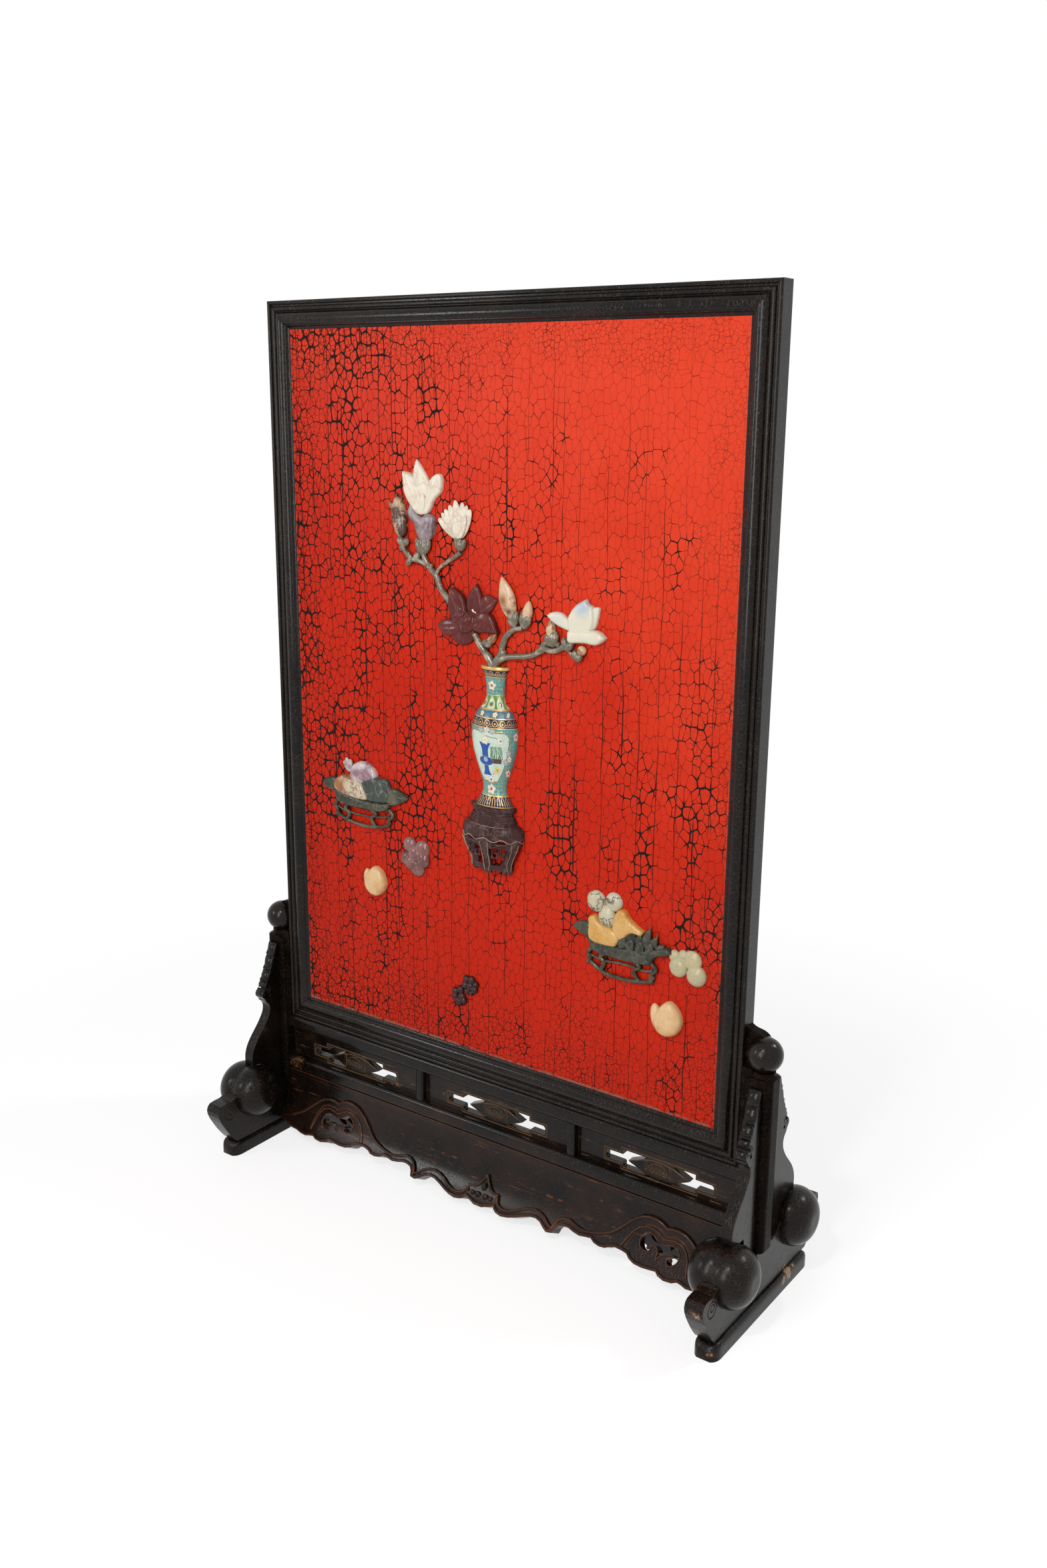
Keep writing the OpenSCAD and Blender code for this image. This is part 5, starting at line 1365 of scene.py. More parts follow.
        self._knots(s, (1.0, 0.4), 1.7, ((20, 968, 7), (93, 979, 6), (132, 989, 6.4), (58, 967, 5.4)))
        s.soften(0.3)
        self._done(s, "green_stone", Finish.GREEN, "right_branch")

    def build(self) -> None:
        """Makes the whole spray."""
        self.twigs()
        self.cups()
        self.buds()
        self.left_magnolia()
        self.daisy()
        self.peony()
        self.right_magnolia()


@dataclass
class VaseStand(SubAssembly):
    """Mouldings, incised lines and fretwork of the stone stand under the vase."""

    axis_x: float = 2.0
    back_y: float = -7.0
    depth: float = 0.483

    def _at(self, angle: float, radius: float, z: float) -> Place:
        """A point on the stand, by its angle from the front in degrees, its radius and its height.

        Args:
            angle: the angle.
            radius: distance from the stand's axis in millimetres.
            z: height in millimetres.

        Returns:
            The point in metres.
        """
        turn = math.radians(angle)
        x, y = self.axis_x + radius * math.sin(turn), self.back_y - self.depth * radius * math.cos(turn)
        return x * MM, y * MM, z * MM

    def build(self) -> None:
        """Makes the carving."""
        s = Shape("vase_stand_carving")
        for radius, z, thick in ((44.6, 698, 1.7), (40.5, 704, 1.5), (38.0, 710.5, 1.3), (43.4, 718, 1.5)):
            s.ribbon([self._at(a, radius, z) for a in range(-88, 89, 4)], thick * MM)
        for middle in (-32, 32):
            for path in (
                ((-22, 652), (-22, 640), (-8, 640), (-8, 648), (-15, 648)),
                ((22, 652), (22, 640), (8, 640), (8, 648), (15, 648)), ((-3, 656), (-3, 644), (3, 644), (3, 656)),
                ((-26, 657), (26, 657)),
            ):
                s.ribbon([self._at(middle + a * 0.8, 50, z) for a, z in path], 1.5 * MM)
        self._done(s, "purple_stone", Finish.PURPLE)
        s = Shape("vase_stand_lines")
        hem = [(a, 60.4 - abs(a) * 0.006, 667 + 5.0 * math.cos(math.radians(a * 5.6)) ** 2) for a in range(-86, 87, 2)]
        s.ribbon([self._at(*point) for point in hem], 0.8 * MM)
        s.ribbon([self._at(a, 52.8, 690.5) for a in range(-88, 89, 4)], 0.7 * MM)
        for leg in (-60, 0, 60):
            for side in (-1, 1):
                rise = ((8.5, 60.2, 665), (7.5, 58.0, 656), (7.0, 52.5, 646), (8.0, 46.2, 636), (8.6, 42.4, 627),
                        (6, 42.6, 617))
                s.ribbon([self._at(leg + side * a * 0.9, r + 0.6, z) for a, r, z in rise], 0.8 * MM)
        self._done(s, "purple_stone", Finish.LINES)


@dataclass
class FruitTrays(SubAssembly):
    """The two hardstone trays on their stands, heaped with fruit, and the loose fruit round them."""

    tray_out: float = 11.0
    leaf_out: float = 8.0

    def _leaf(self, s: Shape, outline: Outline, veins: Sequence[Outline]) -> None:
        """Adds a leaf of the tray with raised veins.

        Args:
            s: the piece.
            outline: corners of the leaf.
            veins: paths of its veins.
        """
        s.slab(outline, self.leaf_out, 4.0, crown=0.8)
        for vein in veins:
            s.limb([(x, z, 0.9 if i == 0 else 0.5) for i, (x, z) in enumerate(vein)], self.leaf_out + 0.2, 6)

    def left_tray(self) -> None:
        """The left tray: a lobed bowl between two leaves."""
        s = Shape("left_tray_bowl")
        self._leaf(
            s, [(-368, 700), (-361, 709), (-345, 714), (-331, 712), (-327, 701), (-334, 690), (-350, 689), (-362, 693)],
            [((-328, 700), (-345, 702), (-362, 702)), ((-334, 701), (-345, 708)), ((-334, 700), (-346, 693)),
             ((-342, 702), (-353, 708)), ((-342, 702), (-354, 694))]
        )
        self._leaf(
            s, [(-224, 688), (-220, 706), (-213, 713), (-198, 714), (-186, 708), (-175, 700), (-186, 692), (-201, 685),
                (-216, 682)],
            [((-220, 697), (-200, 700), (-180, 700)), ((-212, 698), (-203, 708)), ((-212, 698), (-203, 689)),
             ((-200, 700), (-192, 706)), ((-200, 700), (-192, 694))]
        )
        s.slab([(-338, 693), (-330, 694), (-300, 688), (-262, 683), (-232, 684), (-212, 686), (-216, 677), (-225, 671),
                (-236, 668), (-280, 667), (-318, 668), (-331, 673), (-337, 683)], self.tray_out + 1, 5, crown=1)
        for x0, x1, z1 in ((-318, -330, 690), (-308, -316, 689), (-296, -302, 687), (-284, -288, 685),
                           (-270, -272, 683), (-256, -254, 683), (-244, -238, 683), (-232, -222, 684)):
            s.limb([(x0, 670, 1.4), (x0 * 0.5 + x1 * 0.5, 677, 1.3), (x1, z1, 0.8)], self.tray_out + 0.4, 6)
        s.limb([(-336, 692, 1.6), (-300, 686, 1.6), (-262, 681, 1.6), (-232, 682, 1.6), (-213, 685, 1.6)],
               self.tray_out, 8)
        self._done(s, "spinach_stone", Finish.SPINACH, "left_tray")

    def right_tray(self) -> None:
        """The right tray: a smooth boat with two pointed ends."""
        s = Shape("right_tray_boat")
        self._leaf(s, [(159, 552), (166, 560), (178, 565), (190, 563), (196, 553), (191, 540), (174, 543)],
                   [((193, 552), (180, 555), (164, 553))])
        s.slab([(186, 541), (200, 541), (225, 537), (250, 537), (285, 541), (307, 546), (322, 553), (332, 554),
                (338, 547), (330, 541), (317, 538), (307, 533), (305, 524), (299, 518), (250, 516), (211, 517),
                (199, 521), (193, 530)], self.tray_out, 5, crown=1.2)
        s.limb([(188, 541, 1.3), (215, 536, 1.3), (250, 535, 1.3), (290, 540, 1.3), (320, 549, 1.3)],
               self.tray_out - 0.4, 8)
        s.limb([(200, 524, 1.0), (250, 519, 1.0), (298, 522, 1.0)], self.tray_out - 0.6, 8)
        self._done(s, "spinach_stone", Finish.SMOKE, "right_tray")
        s = Shape("leaf_spray_pods")
        for base, tip, width, out in (((252, 540), (262, 568), 15, 5), ((263, 540), (272, 571), 15, 6),
                                      ((276, 540), (283, 566), 15, 5), ((288, 540), (299, 577), 15, 6),
                                      ((299, 541), (311, 567), 14, 5), ((309, 543), (325, 557), 12, 5),
                                      ((248, 536), (258, 555), 15, 9), ((264, 533), (270, 556), 17, 9.5),
                                      ((281, 533), (287, 556), 17, 9.5), ((296, 536), (305, 557), 15, 9)):
            s.petal(base, tip, width, 8, out, 0.5, 0.7)
        for path in ([(271, 562, 1.4), (269, 575, 0.8)], [(297, 570, 1.4), (301, 584, 0.8)],
                     [(252, 556, 1.3), (247, 567, 0.7)], [(283, 560, 1.2), (280, 571, 0.7)],
                     [(311, 563, 1.2), (313, 573, 0.7)]):
            s.limb(path, 6, 6)
        self._done(s, "spinach_stone", Finish.SMOKE, "leaf_spray")

    def stands(self) -> None:
        """The pierced ring stands under the trays."""
        for name, node, low, mid, legs, top in (
            ("left_ring_stand", "left_tray_stand",
             [(-333, 650), (-319, 643), (-298, 639), (-268, 637), (-243, 640), (-224, 645), (-214, 653)],
             [(-334, 662), (-318, 657), (-298, 655), (-268, 655), (-243, 657), (-216, 662)],
             [[(-334, 674), (-338, 664), (-334, 657), (-334, 649)],
              [(-310, 669), (-315, 661), (-306, 654), (-311, 644)],
              [(-257, 669), (-246, 663), (-255, 654), (-247, 640)],
              [(-216, 675), (-208, 665), (-215, 658), (-218, 647)]], 674),
            ("right_ring_stand", "right_tray_stand",
             [(191, 503), (200, 496), (217, 488), (246, 485), (279, 487), (300, 493), (308, 502)],
             [(192, 511), (216, 507), (245, 509), (268, 509), (290, 507), (309, 512)],
             [[(196, 524), (189, 514), (193, 507), (190, 501)], [(220, 519), (212, 512), (219, 505), (213, 491)],
              [(272, 519), (282, 512), (273, 504), (281, 489)], [(303, 523), (311, 513), (304, 506), (304, 494)]], 522),
        ):
            s = Shape(name)
            s.limb([(x, z, 3.2) for x, z in low], 4.2, 8)
            s.limb([(x, z, 2.0) for x, z in mid], 3.4, 8)
            first, last = low[0][0], low[-1][0]
            s.limb([(first + 3, top, 2.6), ((first + last) / 2, top - 4, 2.6), (last - 3, top, 2.6)], 4, 8)
            for leg in legs:
                s.limb([(x, z, 3.4) for x, z in leg], 5.2, 8)
                s.petal((leg[-1][0], leg[-1][1] - 4), (leg[-1][0], leg[-1][1] + 4), 7, 7, 5.5, 0, 0)
            self._done(s, "spinach_stone", Finish.SPINACH, node)

    def heaped(self) -> None:
        """The fruit lying on the trays."""
        s = Shape("agate_fruit_stone")
        s.slab([(-339, 700), (-335, 712), (-323, 721), (-306, 723), (-288, 719), (-273, 710), (-264, 697), (-261, 687),
                (-268, 683), (-290, 683), (-314, 686), (-333, 691)], 13, 7, crown=2.5)
        self._done(s, "agate", Finish.AGATE, "agate_fruit")
        s = Shape("green_fruit_stone")
        s.slab([(-277, 714), (-266, 723), (-253, 727), (-238, 727), (-228, 719), (-222, 700), (-222, 685), (-243, 682),
                (-262, 683), (-269, 697)], 11, 6, crown=1.5, folds=((-262, 722, -256, 688), (-244, 726, -242, 686)))
        s.slab([(-240, 726), (-220, 728), (-215, 719), (-212, 706), (-214, 694), (-222, 684), (-230, 690)], 9.5, 4)
        self._done(s, "green_stone", Finish.MOSS, "green_fruit")
        s = Shape("pomegranate_stone")
        s.slab([(-304, 722), (-298, 741), (-290, 746), (-278, 751), (-263, 749), (-250, 742), (-242, 730), (-250, 716),
                (-273, 710), (-298, 712)], 9.5, 6, crown=2, folds=((-284, 748, -282, 716), (-262, 748, -268, 716)))
        for tip in ((-317, 746), (-311, 753), (-302, 751)):
            s.petal((-302, 728), tip, 11, 8, 4.5, 1, 0.1)
        self._done(s, "grey_stone", Finish.AMETHYST, "pomegranate")
        s = Shape("orange_fruit_stones")
        s.slab([(189, 573), (196, 579), (203, 579), (208, 571), (215, 566), (224, 564), (234, 563), (243, 557),
                (248, 549), (243, 541), (240, 535), (222, 533), (202, 534), (191, 540), (190, 550), (191, 562)], 12, 5,
               crown=1.5)
        s.slab([(232, 560), (234, 580), (240, 593), (248, 598), (256, 596), (262, 585), (273, 578), (288, 570),
                (285, 562), (268, 564), (259, 557), (252, 545), (246, 549)], 10.5, 5, crown=1.5)
        self._done(s, "orange_stone", Finish.ORANGE, "orange_fruits")
        s = Shape("spotted_fruit_stones")
        s.pebble(200, 600, 17.5, 8.5, 0.5)
        s.pebble(232, 605, 15.5, 8, 0.5)
        s.petal((221, 561), (219, 598), 31, 18, 1, 0, 0.1)
        self._done(s, "cream_stone", Finish.SPOTTED, "spotted_fruits")

    def loose(self) -> None:
        """The fruit lying by itself: grapes, berries, peaches and nuts."""
        s = Shape("grape_stones")
        for x, z, radius, out in ((-174, 621, 14, 1), (-147, 617, 16, 1), (-181, 595, 13.5, 1), (-145, 599, 14, 2),
                                  (-158, 583, 16, 1), (-161, 606, 15, 3), (-170, 590, 14, 3)):
            s.pebble(x, z, radius, 8, out)
        self._done(s, "garnet_stone", Finish.GARNET, "grapes")
        s = Shape("dark_berry_stones")
        for x, z, radius in ((-54, 407, 7), (-43, 408, 7), (-34, 402, 6), (-57, 396, 7), (-46, 396, 8), (-37, 392, 7),
                             (-52, 386, 6), (-43, 385, 5), (-66, 385, 7), (-77, 380, 7), (-64, 373, 8), (-78, 371, 7),
                             (-70, 363, 8), (-59, 367, 6)):
            s.pebble(x, z, radius, 6.5, 1)
        self._done(s, "garnet_stone", Finish.BERRY, "dark_berries")
        s = Shape("left_peach_stone")
        s.slab([(-270, 551), (-262, 560), (-254, 568), (-244, 568), (-234, 561), (-228, 550), (-226, 538), (-231, 525),
                (-240, 517), (-251, 514), (-262, 517), (-272, 527), (-274, 540)], 12, 8, crown=2.5,
               folds=((-250, 568, -258, 540), (-258, 540, -262, 516)))
        s.petal((-266, 520), (-271, 560), 17, 15, 2, 0, 0.1)
        self._done(s, "cream_stone", Finish.CREAM, "left_peach")
        s = Shape("right_peach_stone")
        s.slab([(313, 446), (322, 459), (330, 467), (339, 469), (349, 462), (357, 451), (360, 438), (356, 425),
                (347, 415), (332, 410), (317, 415), (309, 430)], 12, 8, crown=2.5,
               folds=((334, 468, 326, 440), (326, 440, 322, 412)))
        s.petal((318, 416), (309, 459), 20, 16, 2, 0, 0.1)
        self._done(s, "cream_stone", Finish.CREAM, "right_peach")
        s = Shape("pale_fruit_stones")
        s.petal((341, 532), (341, 553), 20, 12, 1, 0, 0.1)
        s.petal((371, 526), (370, 558), 33, 13, 1, 0, 0)
        s.petal((354, 530), (356, 556), 20, 13, 1, 0, 0)
        s.pebble(348, 527, 16, 8, 1.5)
        s.pebble(379, 520, 17, 9, 1.5)
        self._done(s, "pale_stone", Finish.PALE, "pale_fruits")

    def build(self) -> None:
        """Makes both trays and all the fruit."""
        self.stands()
        self.left_tray()
        self.right_tray()
        self.heaped()
        self.loose()


@dataclass
class StandCarving(SubAssembly):
    """Carved work of the stand: rims and scrolls of the aprons, beads of the spandrels, and the worn floor runners.

    Attributes:
        hollow_y, hollow_z, hollow_r: axis and radius of an apron's hollow face.
        apron_y, apron_z: where its tilted face starts.
        tilt: how far it leans, in radians.
        rail_y, post_y: middles that the back apron and the back spandrels are mirrored about.
        post_x: middle of a post.
        edge, rim, inner, scroll: paths on half the apron, from the middle and down, in millimetres.
        runner_reach, runner_half, runner_high: half length, half width and height of a floor runner.
        toe: length of its rounded end.
        steps, around: sections along a runner and sides of each.
    """

    body: str = "stand"
    runner_reach: float = 158.0
    runner_half: float = 20.4
    runner_high: float = 27.4
    toe: float = 22.0
    steps: int = 80
    around: int = 24
    apron_y: float = -11.0
    apron_z: float = 123.5
    post_y: float = 6.0
    hollow_y: float = -137.0
    hollow_z: float = 110.0
    hollow_r: float = 126.0
    tilt: float = math.radians(30)
    rail_y: float = 2.0
    post_x: float = 493.0
    edge: Outline = (
        (0, 107), (8, 107), (15, 104), (24, 101), (30, 99), (33, 103), (39, 107), (50, 109), (62, 107), (74, 103),
        (88, 97), (102, 92), (114, 91), (124, 94), (134, 101), (141, 105), (149, 104), (152, 96), (158, 89), (168, 86),
        (178, 86), (188, 89), (200, 91), (212, 89), (222, 88), (230, 93), (240, 95), (250, 94), (256, 90), (268, 87),
        (282, 88), (291, 90), (298, 96), (308, 100), (322, 101), (335, 100), (348, 99), (354, 104), (365, 107),
        (378, 106), (386, 102), (394, 103), (404, 106), (416, 105), (428, 102), (442, 101), (454, 98),
    )
    rim: Outline = (
        (0, 56), (5, 66), (12, 76), (20, 81), (30, 82), (33, 92), (38, 98), (48, 101), (60, 100), (72, 95), (84, 88),
        (96, 83), (108, 81), (120, 83), (130, 88), (139, 95), (147, 100), (150, 91), (156, 82), (165, 77), (175, 76),
        (186, 80), (197, 83), (208, 84), (220, 82), (232, 79), (243, 75), (254, 70), (264, 62), (274, 52), (284, 42),
        (294, 34), (305, 28), (317, 25), (330, 25), (341, 29), (350, 34), (360, 31), (372, 31), (384, 34), (394, 40),
        (404, 48), (414, 57), (424, 66), (436, 74), (450, 81),
    )
    inner: Outline = (
        (276, 84), (283, 70), (291, 56), (301, 46), (313, 41), (326, 41), (337, 45), (346, 51), (356, 49), (368, 47),
        (380, 50), (388, 58), (393, 69), (396, 82), (398, 94),
    )
    scroll: Outline = (
        (306, 64), (308, 56), (314, 50), (322, 47.5), (330, 51), (336, 56), (344, 58), (351, 58.5), (358, 56),
        (367, 55.5), (374, 58.5), (378, 65), (379, 72), (377, 78), (372, 84), (366, 87), (360, 85), (358, 79),
        (359, 75), (363, 73), (368, 73), (368, 70.5), (363, 69.5), (355, 71.5), (348, 75.5), (343, 81), (341, 85),
        (340, 79), (341, 73), (338, 68), (332, 65), (327, 65.5), (325, 69), (327, 73), (324, 77), (317, 78),
        (310, 76), (307, 71),
    )

    def _on_apron(self, x: float, down: float, lift: float, back: bool) -> Place:
        """Finds a point on the hollow face of an apron.

        Args:
            x: distance from the middle in millimetres.
            down: distance down the tilted face.
            lift: how far above the face it lies.
            back: whether it is on the back apron.

        Returns:
            The point in metres.
        """
        lean, rise = math.sin(self.tilt), math.cos(self.tilt)
        y0 = self.apron_y - lean * down - self.hollow_y
        z0 = self.apron_z - rise * down - self.hollow_z
        middle = -rise * y0 + lean * z0
        reach = self.hollow_r - lift
        out = -middle - math.sqrt(max(0.0, middle**2 - (y0**2 + z0**2 - reach**2)))
        y = self.apron_y - lean * down - rise * out
        z = self.apron_z - rise * down + lean * out
        return x * MM, (2 * self.rail_y - y if back else y) * MM, z * MM

    def _lump(self, s: Shape, at: Place, size: Place, turn: float = 0.0) -> None:
        """Adds a rounded lump.

        Args:
            s: the piece.
            at: its middle in metres.
            size: its half widths in metres.
            turn: rotation about X in radians.
        """
        matrix = Matrix.Translation(at) @ Matrix.Rotation(turn, 4, "X") @ Matrix.Diagonal((*size, 1.0))
        bmesh.ops.create_uvsphere(s.bm, u_segments=16, v_segments=12, radius=1.0, matrix=matrix)

    def aprons(self) -> None:
        """Rolls the rims of both aprons and edges their scrolls."""
        for back in (False, True):
            s = Shape("back_apron_rim" if back else "front_apron_rim")
            for side in (-1, 1):
                for path, radius, lift in ((self.edge, 3.0, 0.4), (self.rim, 2.6, 0.2), (self.inner, 1.9, 0.4)):
                    s.ribbon([self._on_apron(side * x, d, lift, back) for x, d in path], radius * MM)
                loop = self.scroll + self.scroll[:1]
                s.ribbon([self._on_apron(side * x, d, 0.6, back) for x, d in loop], 1.2 * MM)
                for x, d, size in ((323, 71, 3.0), (366, 78, 3.0), (8, 92, 6.0), (19, 92, 4.6), (30, 90, 3.2)):
                    self._lump(s, self._on_apron(side * x, d, 0.5, back), (size * MM, 3.4 * MM, size * MM))
            self._lump(s, self._on_apron(0, 78, 0.4, back), (5 * MM, 3.4 * MM, 9 * MM))
            self._done(s, "worn_lacquer", Finish.WORN)

    def spandrels(self) -> None:
        """Sets the glossy beads on the edges of the spandrels."""
        for back in (False, True):
            s = Shape("back_spandrel_beads" if back else "front_spandrel_beads")
            turn = -1 if back else 1
            for side in (-1, 1):
                for y, z, half, lean in ((-29.5, 365.5, 9.5, -0.38), (-38.5, 341.5, 10.5, -0.36),
                                         (-48.0, 319.0, 8.5, -0.48), (-55.0, 303.0, 5.0, -0.50),
                                         (-61.0, 286.5, 6.5, 0.25)):
                    across, deep = (9.6, 3.4) if z > 290 else (10.4, 5.8)
                    y_at = 2 * self.post_y - y if back else y
                    size = (across * MM, deep * MM, half * MM)
                    self._lump(s, (side * self.post_x * MM, y_at * MM, z * MM), size, turn * lean)
            self._done(s, "black_lacquer", Finish.BEAD)

    def _section(self, s: Shape, side: int, y: float) -> list[bmesh.types.BMVert]:
        """Adds the points of a runner's section, rounded towards the toe and dented.

        Args:
            s: the piece.
            side: -1 for the left runner and 1 for the right one.
            y: where it lies, in millimetres.

        Returns:
            The points, from one lower corner over the top to the other.
        """
        toe = max(0.0, abs(y) - (self.runner_reach - self.toe)) / self.toe
        half = self.runner_half * math.sqrt(1.0 - 0.72 * toe**3)
        high = self.runner_high * math.sqrt(1.0 - 0.66 * toe**3)
        ring = []
        for k in range(self.around + 1):
            c, d = math.cos(math.pi * k / self.around), math.sin(math.pi * k / self.around)
            x = self.post_x + 2 + half * math.copysign(abs(c) ** 0.38, c)
            place = Vector((side * x, y, high * abs(d) ** 0.32)) * MM
            dent = noise.noise(place * 45.0) * 0.7 + min(0.0, noise.noise(place * 110.0) + 0.15) * 1.6
            place.z = max(0.0, place.z + dent * MM * (0.4 + toe) - 0.3 * MM) if d > 0.05 else 0.0
            ring.append(s.bm.verts.new(place))
        return ring

    def runners(self) -> None:
        """Shapes the floor runners, with their rounded, battered toes."""
        for side, node in ((-1, "left_runner"), (1, "right_runner")):
            s = Shape(f"{node}_body")
            turns = ((i / self.steps - 0.5) * math.pi for i in range(self.steps + 1))
            rings = [self._section(s, side, self.runner_reach * math.sin(turn)) for turn in turns]
            for first, second in zip(rings, rings[1:]):
                for k in range(self.around):
                    s.bm.faces.new((first[k], first[k + 1], second[k + 1], second[k]))
                s.bm.faces.new((first[-1], first[0], second[0], second[-1]))
            for ring in (rings[0], rings[-1]):
                s.bm.faces.new(ring)
            self._done(s, "black_lacquer", Finish.FOOT, node)

    def build(self) -> None:
        """Makes the carved work."""
        self.aprons()
        self.spandrels()
        self.runners()


@dataclass
class Carcase:
    """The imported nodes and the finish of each; the ones not named are plain black lacquer."""

    nodes: dict[str, bpy.types.Object]
    finishes: Finishes
    plan: dict[Finish, str] = field(
        default_factory=lambda: {
            Finish.RED: "lacquer_panel", Finish.BATTEN: "panel_battens", Finish.ENAMEL: "vase",
            Finish.PURPLE: "vase_stand", Finish.GREEN: "left_branch right_branch left_calyxes right_calyxes",
            Finish.WHITE: "left_magnolia daisy right_magnolia", Finish.BROWN: "brown_bud right_buds",
            Finish.GREY: "grey_bud", Finish.MAROON: "peony", Finish.AGATE: "agate_fruit",
            Finish.SPINACH: "left_tray left_tray_stand right_tray_stand", Finish.MOSS: "green_fruit",
            Finish.AMETHYST: "pomegranate", Finish.GARNET: "grapes", Finish.CREAM: "left_peach right_peach",
            Finish.BERRY: "dark_berries", Finish.SMOKE: "right_tray leaf_spray", Finish.ORANGE: "orange_fruits",
            Finish.SPOTTED: "spotted_fruits", Finish.PALE: "pale_fruits", Finish.RAIL: "lower_rail",
            Finish.CARVED: "front_apron back_apron", Finish.POST: "left_post right_post",
            Finish.OPENWORK: "left_openwork middle_openwork right_openwork",
            Finish.FRAME: "frame_top_rail frame_bottom_rail frame_left_stile frame_right_stile",
            Finish.FOOT: "left_foot right_foot left_front_drum right_front_drum left_back_drum right_back_drum",
        }
    )

    def dress(self) -> None:
        """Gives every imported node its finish."""
        finish_of = {name: finish for finish, names in self.plan.items() for name in names.split()}
        for name, thing in self.nodes.items():
            self.finishes.put(thing, finish_of.get(name, Finish.BLACK))
            LOG.info("dressed %s", name)


# ---------------------------------------------------------------- studio


@dataclass(frozen=True)
class Lamp:
    """A soft rectangular lamp: its place, the point it faces, its width and height, and its watts."""

    name: str
    at: Place
    aim: Place
    size: Pair
    power: float

    def hang(self) -> None:
        """Adds the lamp to the scene."""
        data = bpy.data.lights.new(self.name, "AREA")
        data.shape = "RECTANGLE"
        data.size, data.size_y = self.size
        data.energy = self.power
        thing = bpy.data.objects.new(self.name, data)
        thing.location = self.at
        thing.rotation_euler = (Vector(self.aim) - Vector(self.at)).to_track_quat("-Z", "Y").to_euler()
        bpy.context.scene.collection.objects.link(thing)


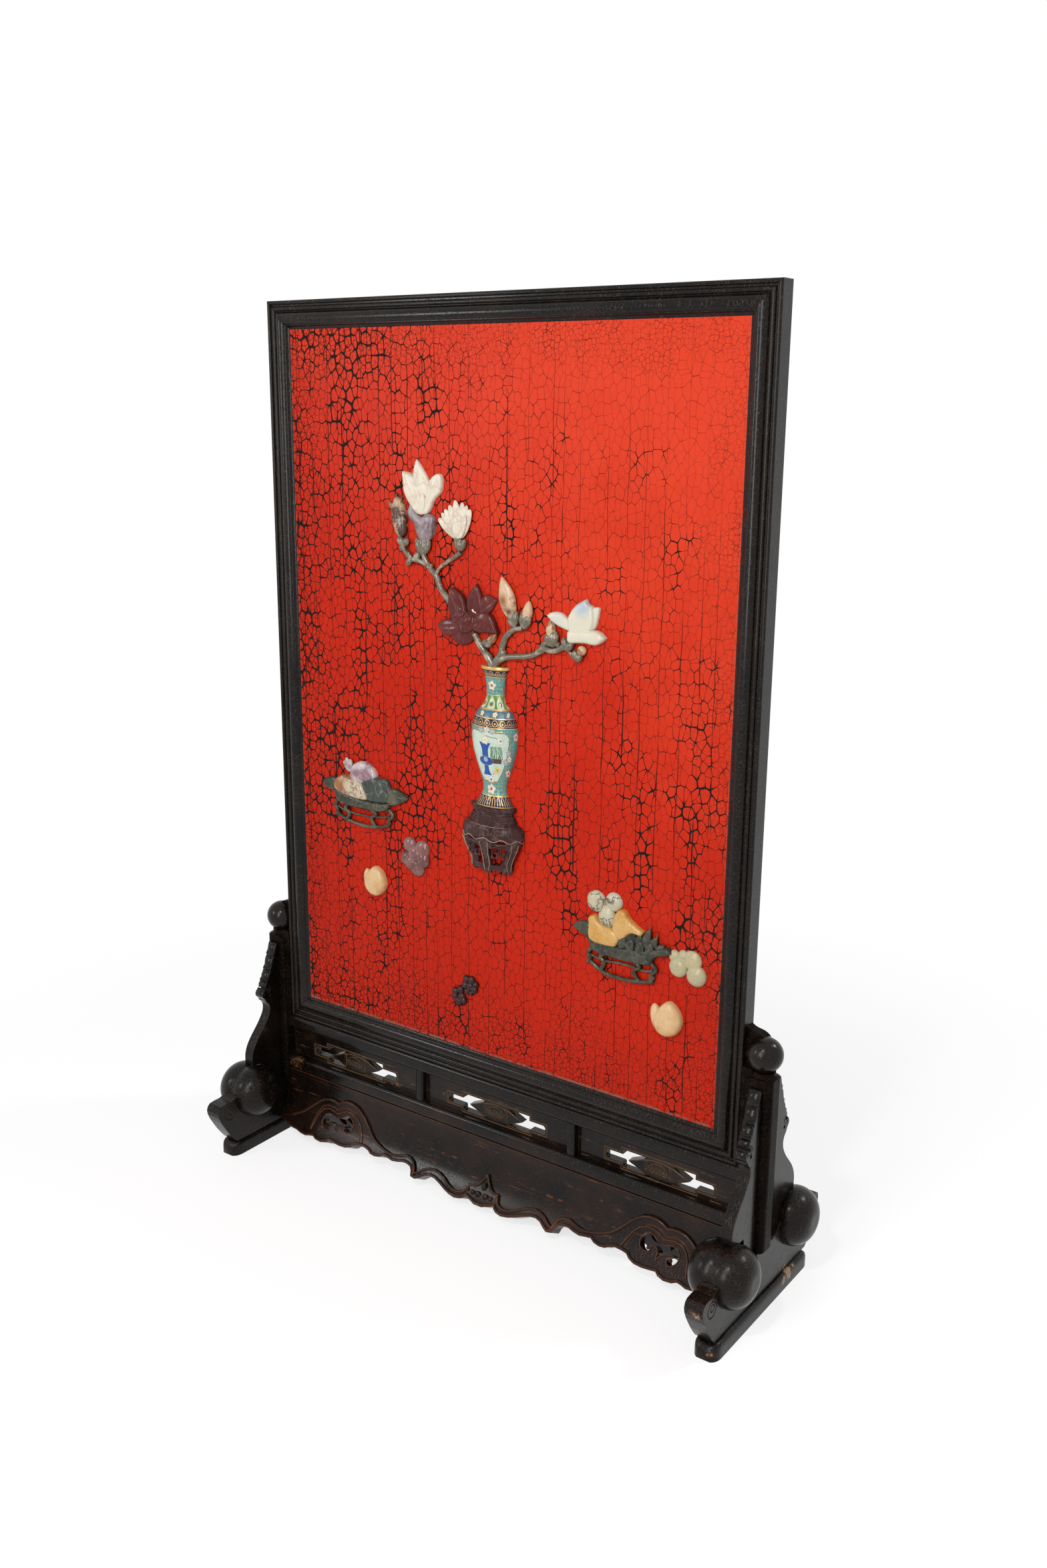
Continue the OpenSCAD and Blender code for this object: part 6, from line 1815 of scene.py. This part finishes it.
@dataclass
class Studio:
    """The floor, the lamps and the camera.

    Attributes:
        eye: the camera's place.
        yaw, pitch, roll: how it is turned, in degrees.
        focal, tall: its focal length and its picture's height, in pixels.
        sensor: width of its sensor in millimetres.
        floor_size: side of the floor in metres.
        floor_glow, floor_tone: what the floor shows of itself, and how much light it takes up near the screen.
        fade: distances over which it turns white.
        world_light: strength of the white all round on the screen itself.
        lamps: the lamps.
    """

    eye: Place = (1.3133, -1.7701, 1.3408)
    yaw: float = 35.44
    pitch: float = 14.93
    roll: float = 0.51
    focal: float = 2135.6
    tall: float = 2349.0
    sensor: float = 36.0
    floor_size: float = 24.0
    floor_glow: float = 0.72
    floor_tone: float = 0.42
    fade: Pair = (0.75, 1.7)
    world_light: float = 0.31
    lamps: tuple[Lamp, ...] = (
        Lamp("key", (0.60, -1.85, 2.40), (0.2, 0.0, 1.15), (0.20, 0.20), 16),
        Lamp("soft", (0.25, -2.20, 1.40), (0.1, 0.0, 1.1), (0.60, 1.50), 23),
        Lamp("side", (-1.9, -2.3, 1.5), (0.0, 0.0, 0.8), (0.40, 0.80), 12),
        Lamp("back", (1.9, 1.5, 2.4), (0.4, 0.0, 0.7), (0.5, 0.5), 22),
    )

    def camera(self) -> None:
        """Sets the camera to the photograph's viewing angle."""
        yaw, pitch, roll = (math.radians(a) for a in (self.yaw, self.pitch, self.roll))
        ahead = Vector((-math.sin(yaw) * math.cos(pitch), math.cos(yaw) * math.cos(pitch), -math.sin(pitch)))
        right = Vector((math.cos(yaw), math.sin(yaw), 0))
        up = right.cross(ahead)
        across = right * math.cos(roll) + up * math.sin(roll)
        rise = up * math.cos(roll) - right * math.sin(roll)
        data = bpy.data.cameras.new("camera")
        data.lens = self.focal / self.tall * self.sensor
        data.sensor_width = self.sensor
        data.clip_end = 100
        thing = bpy.data.objects.new("camera", data)
        turn = Matrix((across, rise, -ahead)).transposed().to_4x4()
        thing.matrix_world = Matrix.Translation(Vector(self.eye)) @ turn
        bpy.context.scene.collection.objects.link(thing)
        bpy.context.scene.camera = thing

    def floor(self) -> None:
        """Lays the pale floor, which shows near-white and keeps a soft shadow."""
        mesh = bpy.data.meshes.new("floor")
        shape = bmesh.new()
        bmesh.ops.create_grid(shape, x_segments=1, y_segments=1, size=self.floor_size / 2)
        shape.to_mesh(mesh)
        shape.free()
        thing = bpy.data.objects.new("floor", mesh)
        bpy.context.scene.collection.objects.link(thing)
        p = Paint("floor")
        p.dress(Base_Color=(0.8, 0.8, 0.8), Roughness=1.0, Specular_IOR_Level=0.0, Emission_Color=(1, 1, 1))
        x, y, _ = p.axes()
        glow = p.signal("ShaderNodeEmission", None, {"Color": (1.0, 1.0, 1.0), "Strength": self.floor_glow})
        plain = p.signal("ShaderNodeBsdfDiffuse", None, {"Color": (self.floor_tone,) * 3})
        near = p.signal("ShaderNodeAddShader", None, {0: glow, 1: plain})
        white = p.signal("ShaderNodeEmission", None, {"Color": (1.0, 1.0, 1.0), "Strength": 1.0})
        shown = p.signal("ShaderNodeMixShader", None, {0: distance(x, y).step(*self.fade), 1: near, 2: white})
        own = Signal(p, p.shader.outputs[0])
        pick = p.signal("ShaderNodeMixShader", None, {0: p.seen(), 1: own, 2: shown})
        p.feed(p.output.inputs[0], pick)
        mesh.materials.append(p.material)

    def world(self) -> None:
        """Surrounds the scene with soft white that shows as a white background."""
        world = bpy.data.worlds.new("studio")
        bpy.context.scene.world = world
        sky = Sky(world)
        strength = sky.signal("ShaderNodeMapRange", None, {0: sky.seen(), 3: self.world_light, 4: 1.0})
        background = sky.signal("ShaderNodeBackground", None, {0: (1.0, 1.0, 1.0), 1: strength})
        sky.make("ShaderNodeOutputWorld", None, {0: background})

    def build(self) -> None:
        """Sets the whole studio."""
        bpy.context.scene.view_settings.view_transform = "Standard"
        self.camera()
        self.floor()
        self.world()
        for lamp in self.lamps:
            lamp.hang()


def main() -> None:
    """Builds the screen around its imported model."""
    logging.basicConfig(level=logging.INFO, format="%(message)s")
    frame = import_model()
    finishes = Finishes()
    Carcase(frame["nodes"], finishes).dress()
    FlowerSpray(finishes).build()
    VaseStand(finishes).build()
    FruitTrays(finishes).build()
    StandCarving(finishes).build()
    Studio().build()
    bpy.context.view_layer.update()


if __name__ == "__main__":
    main()
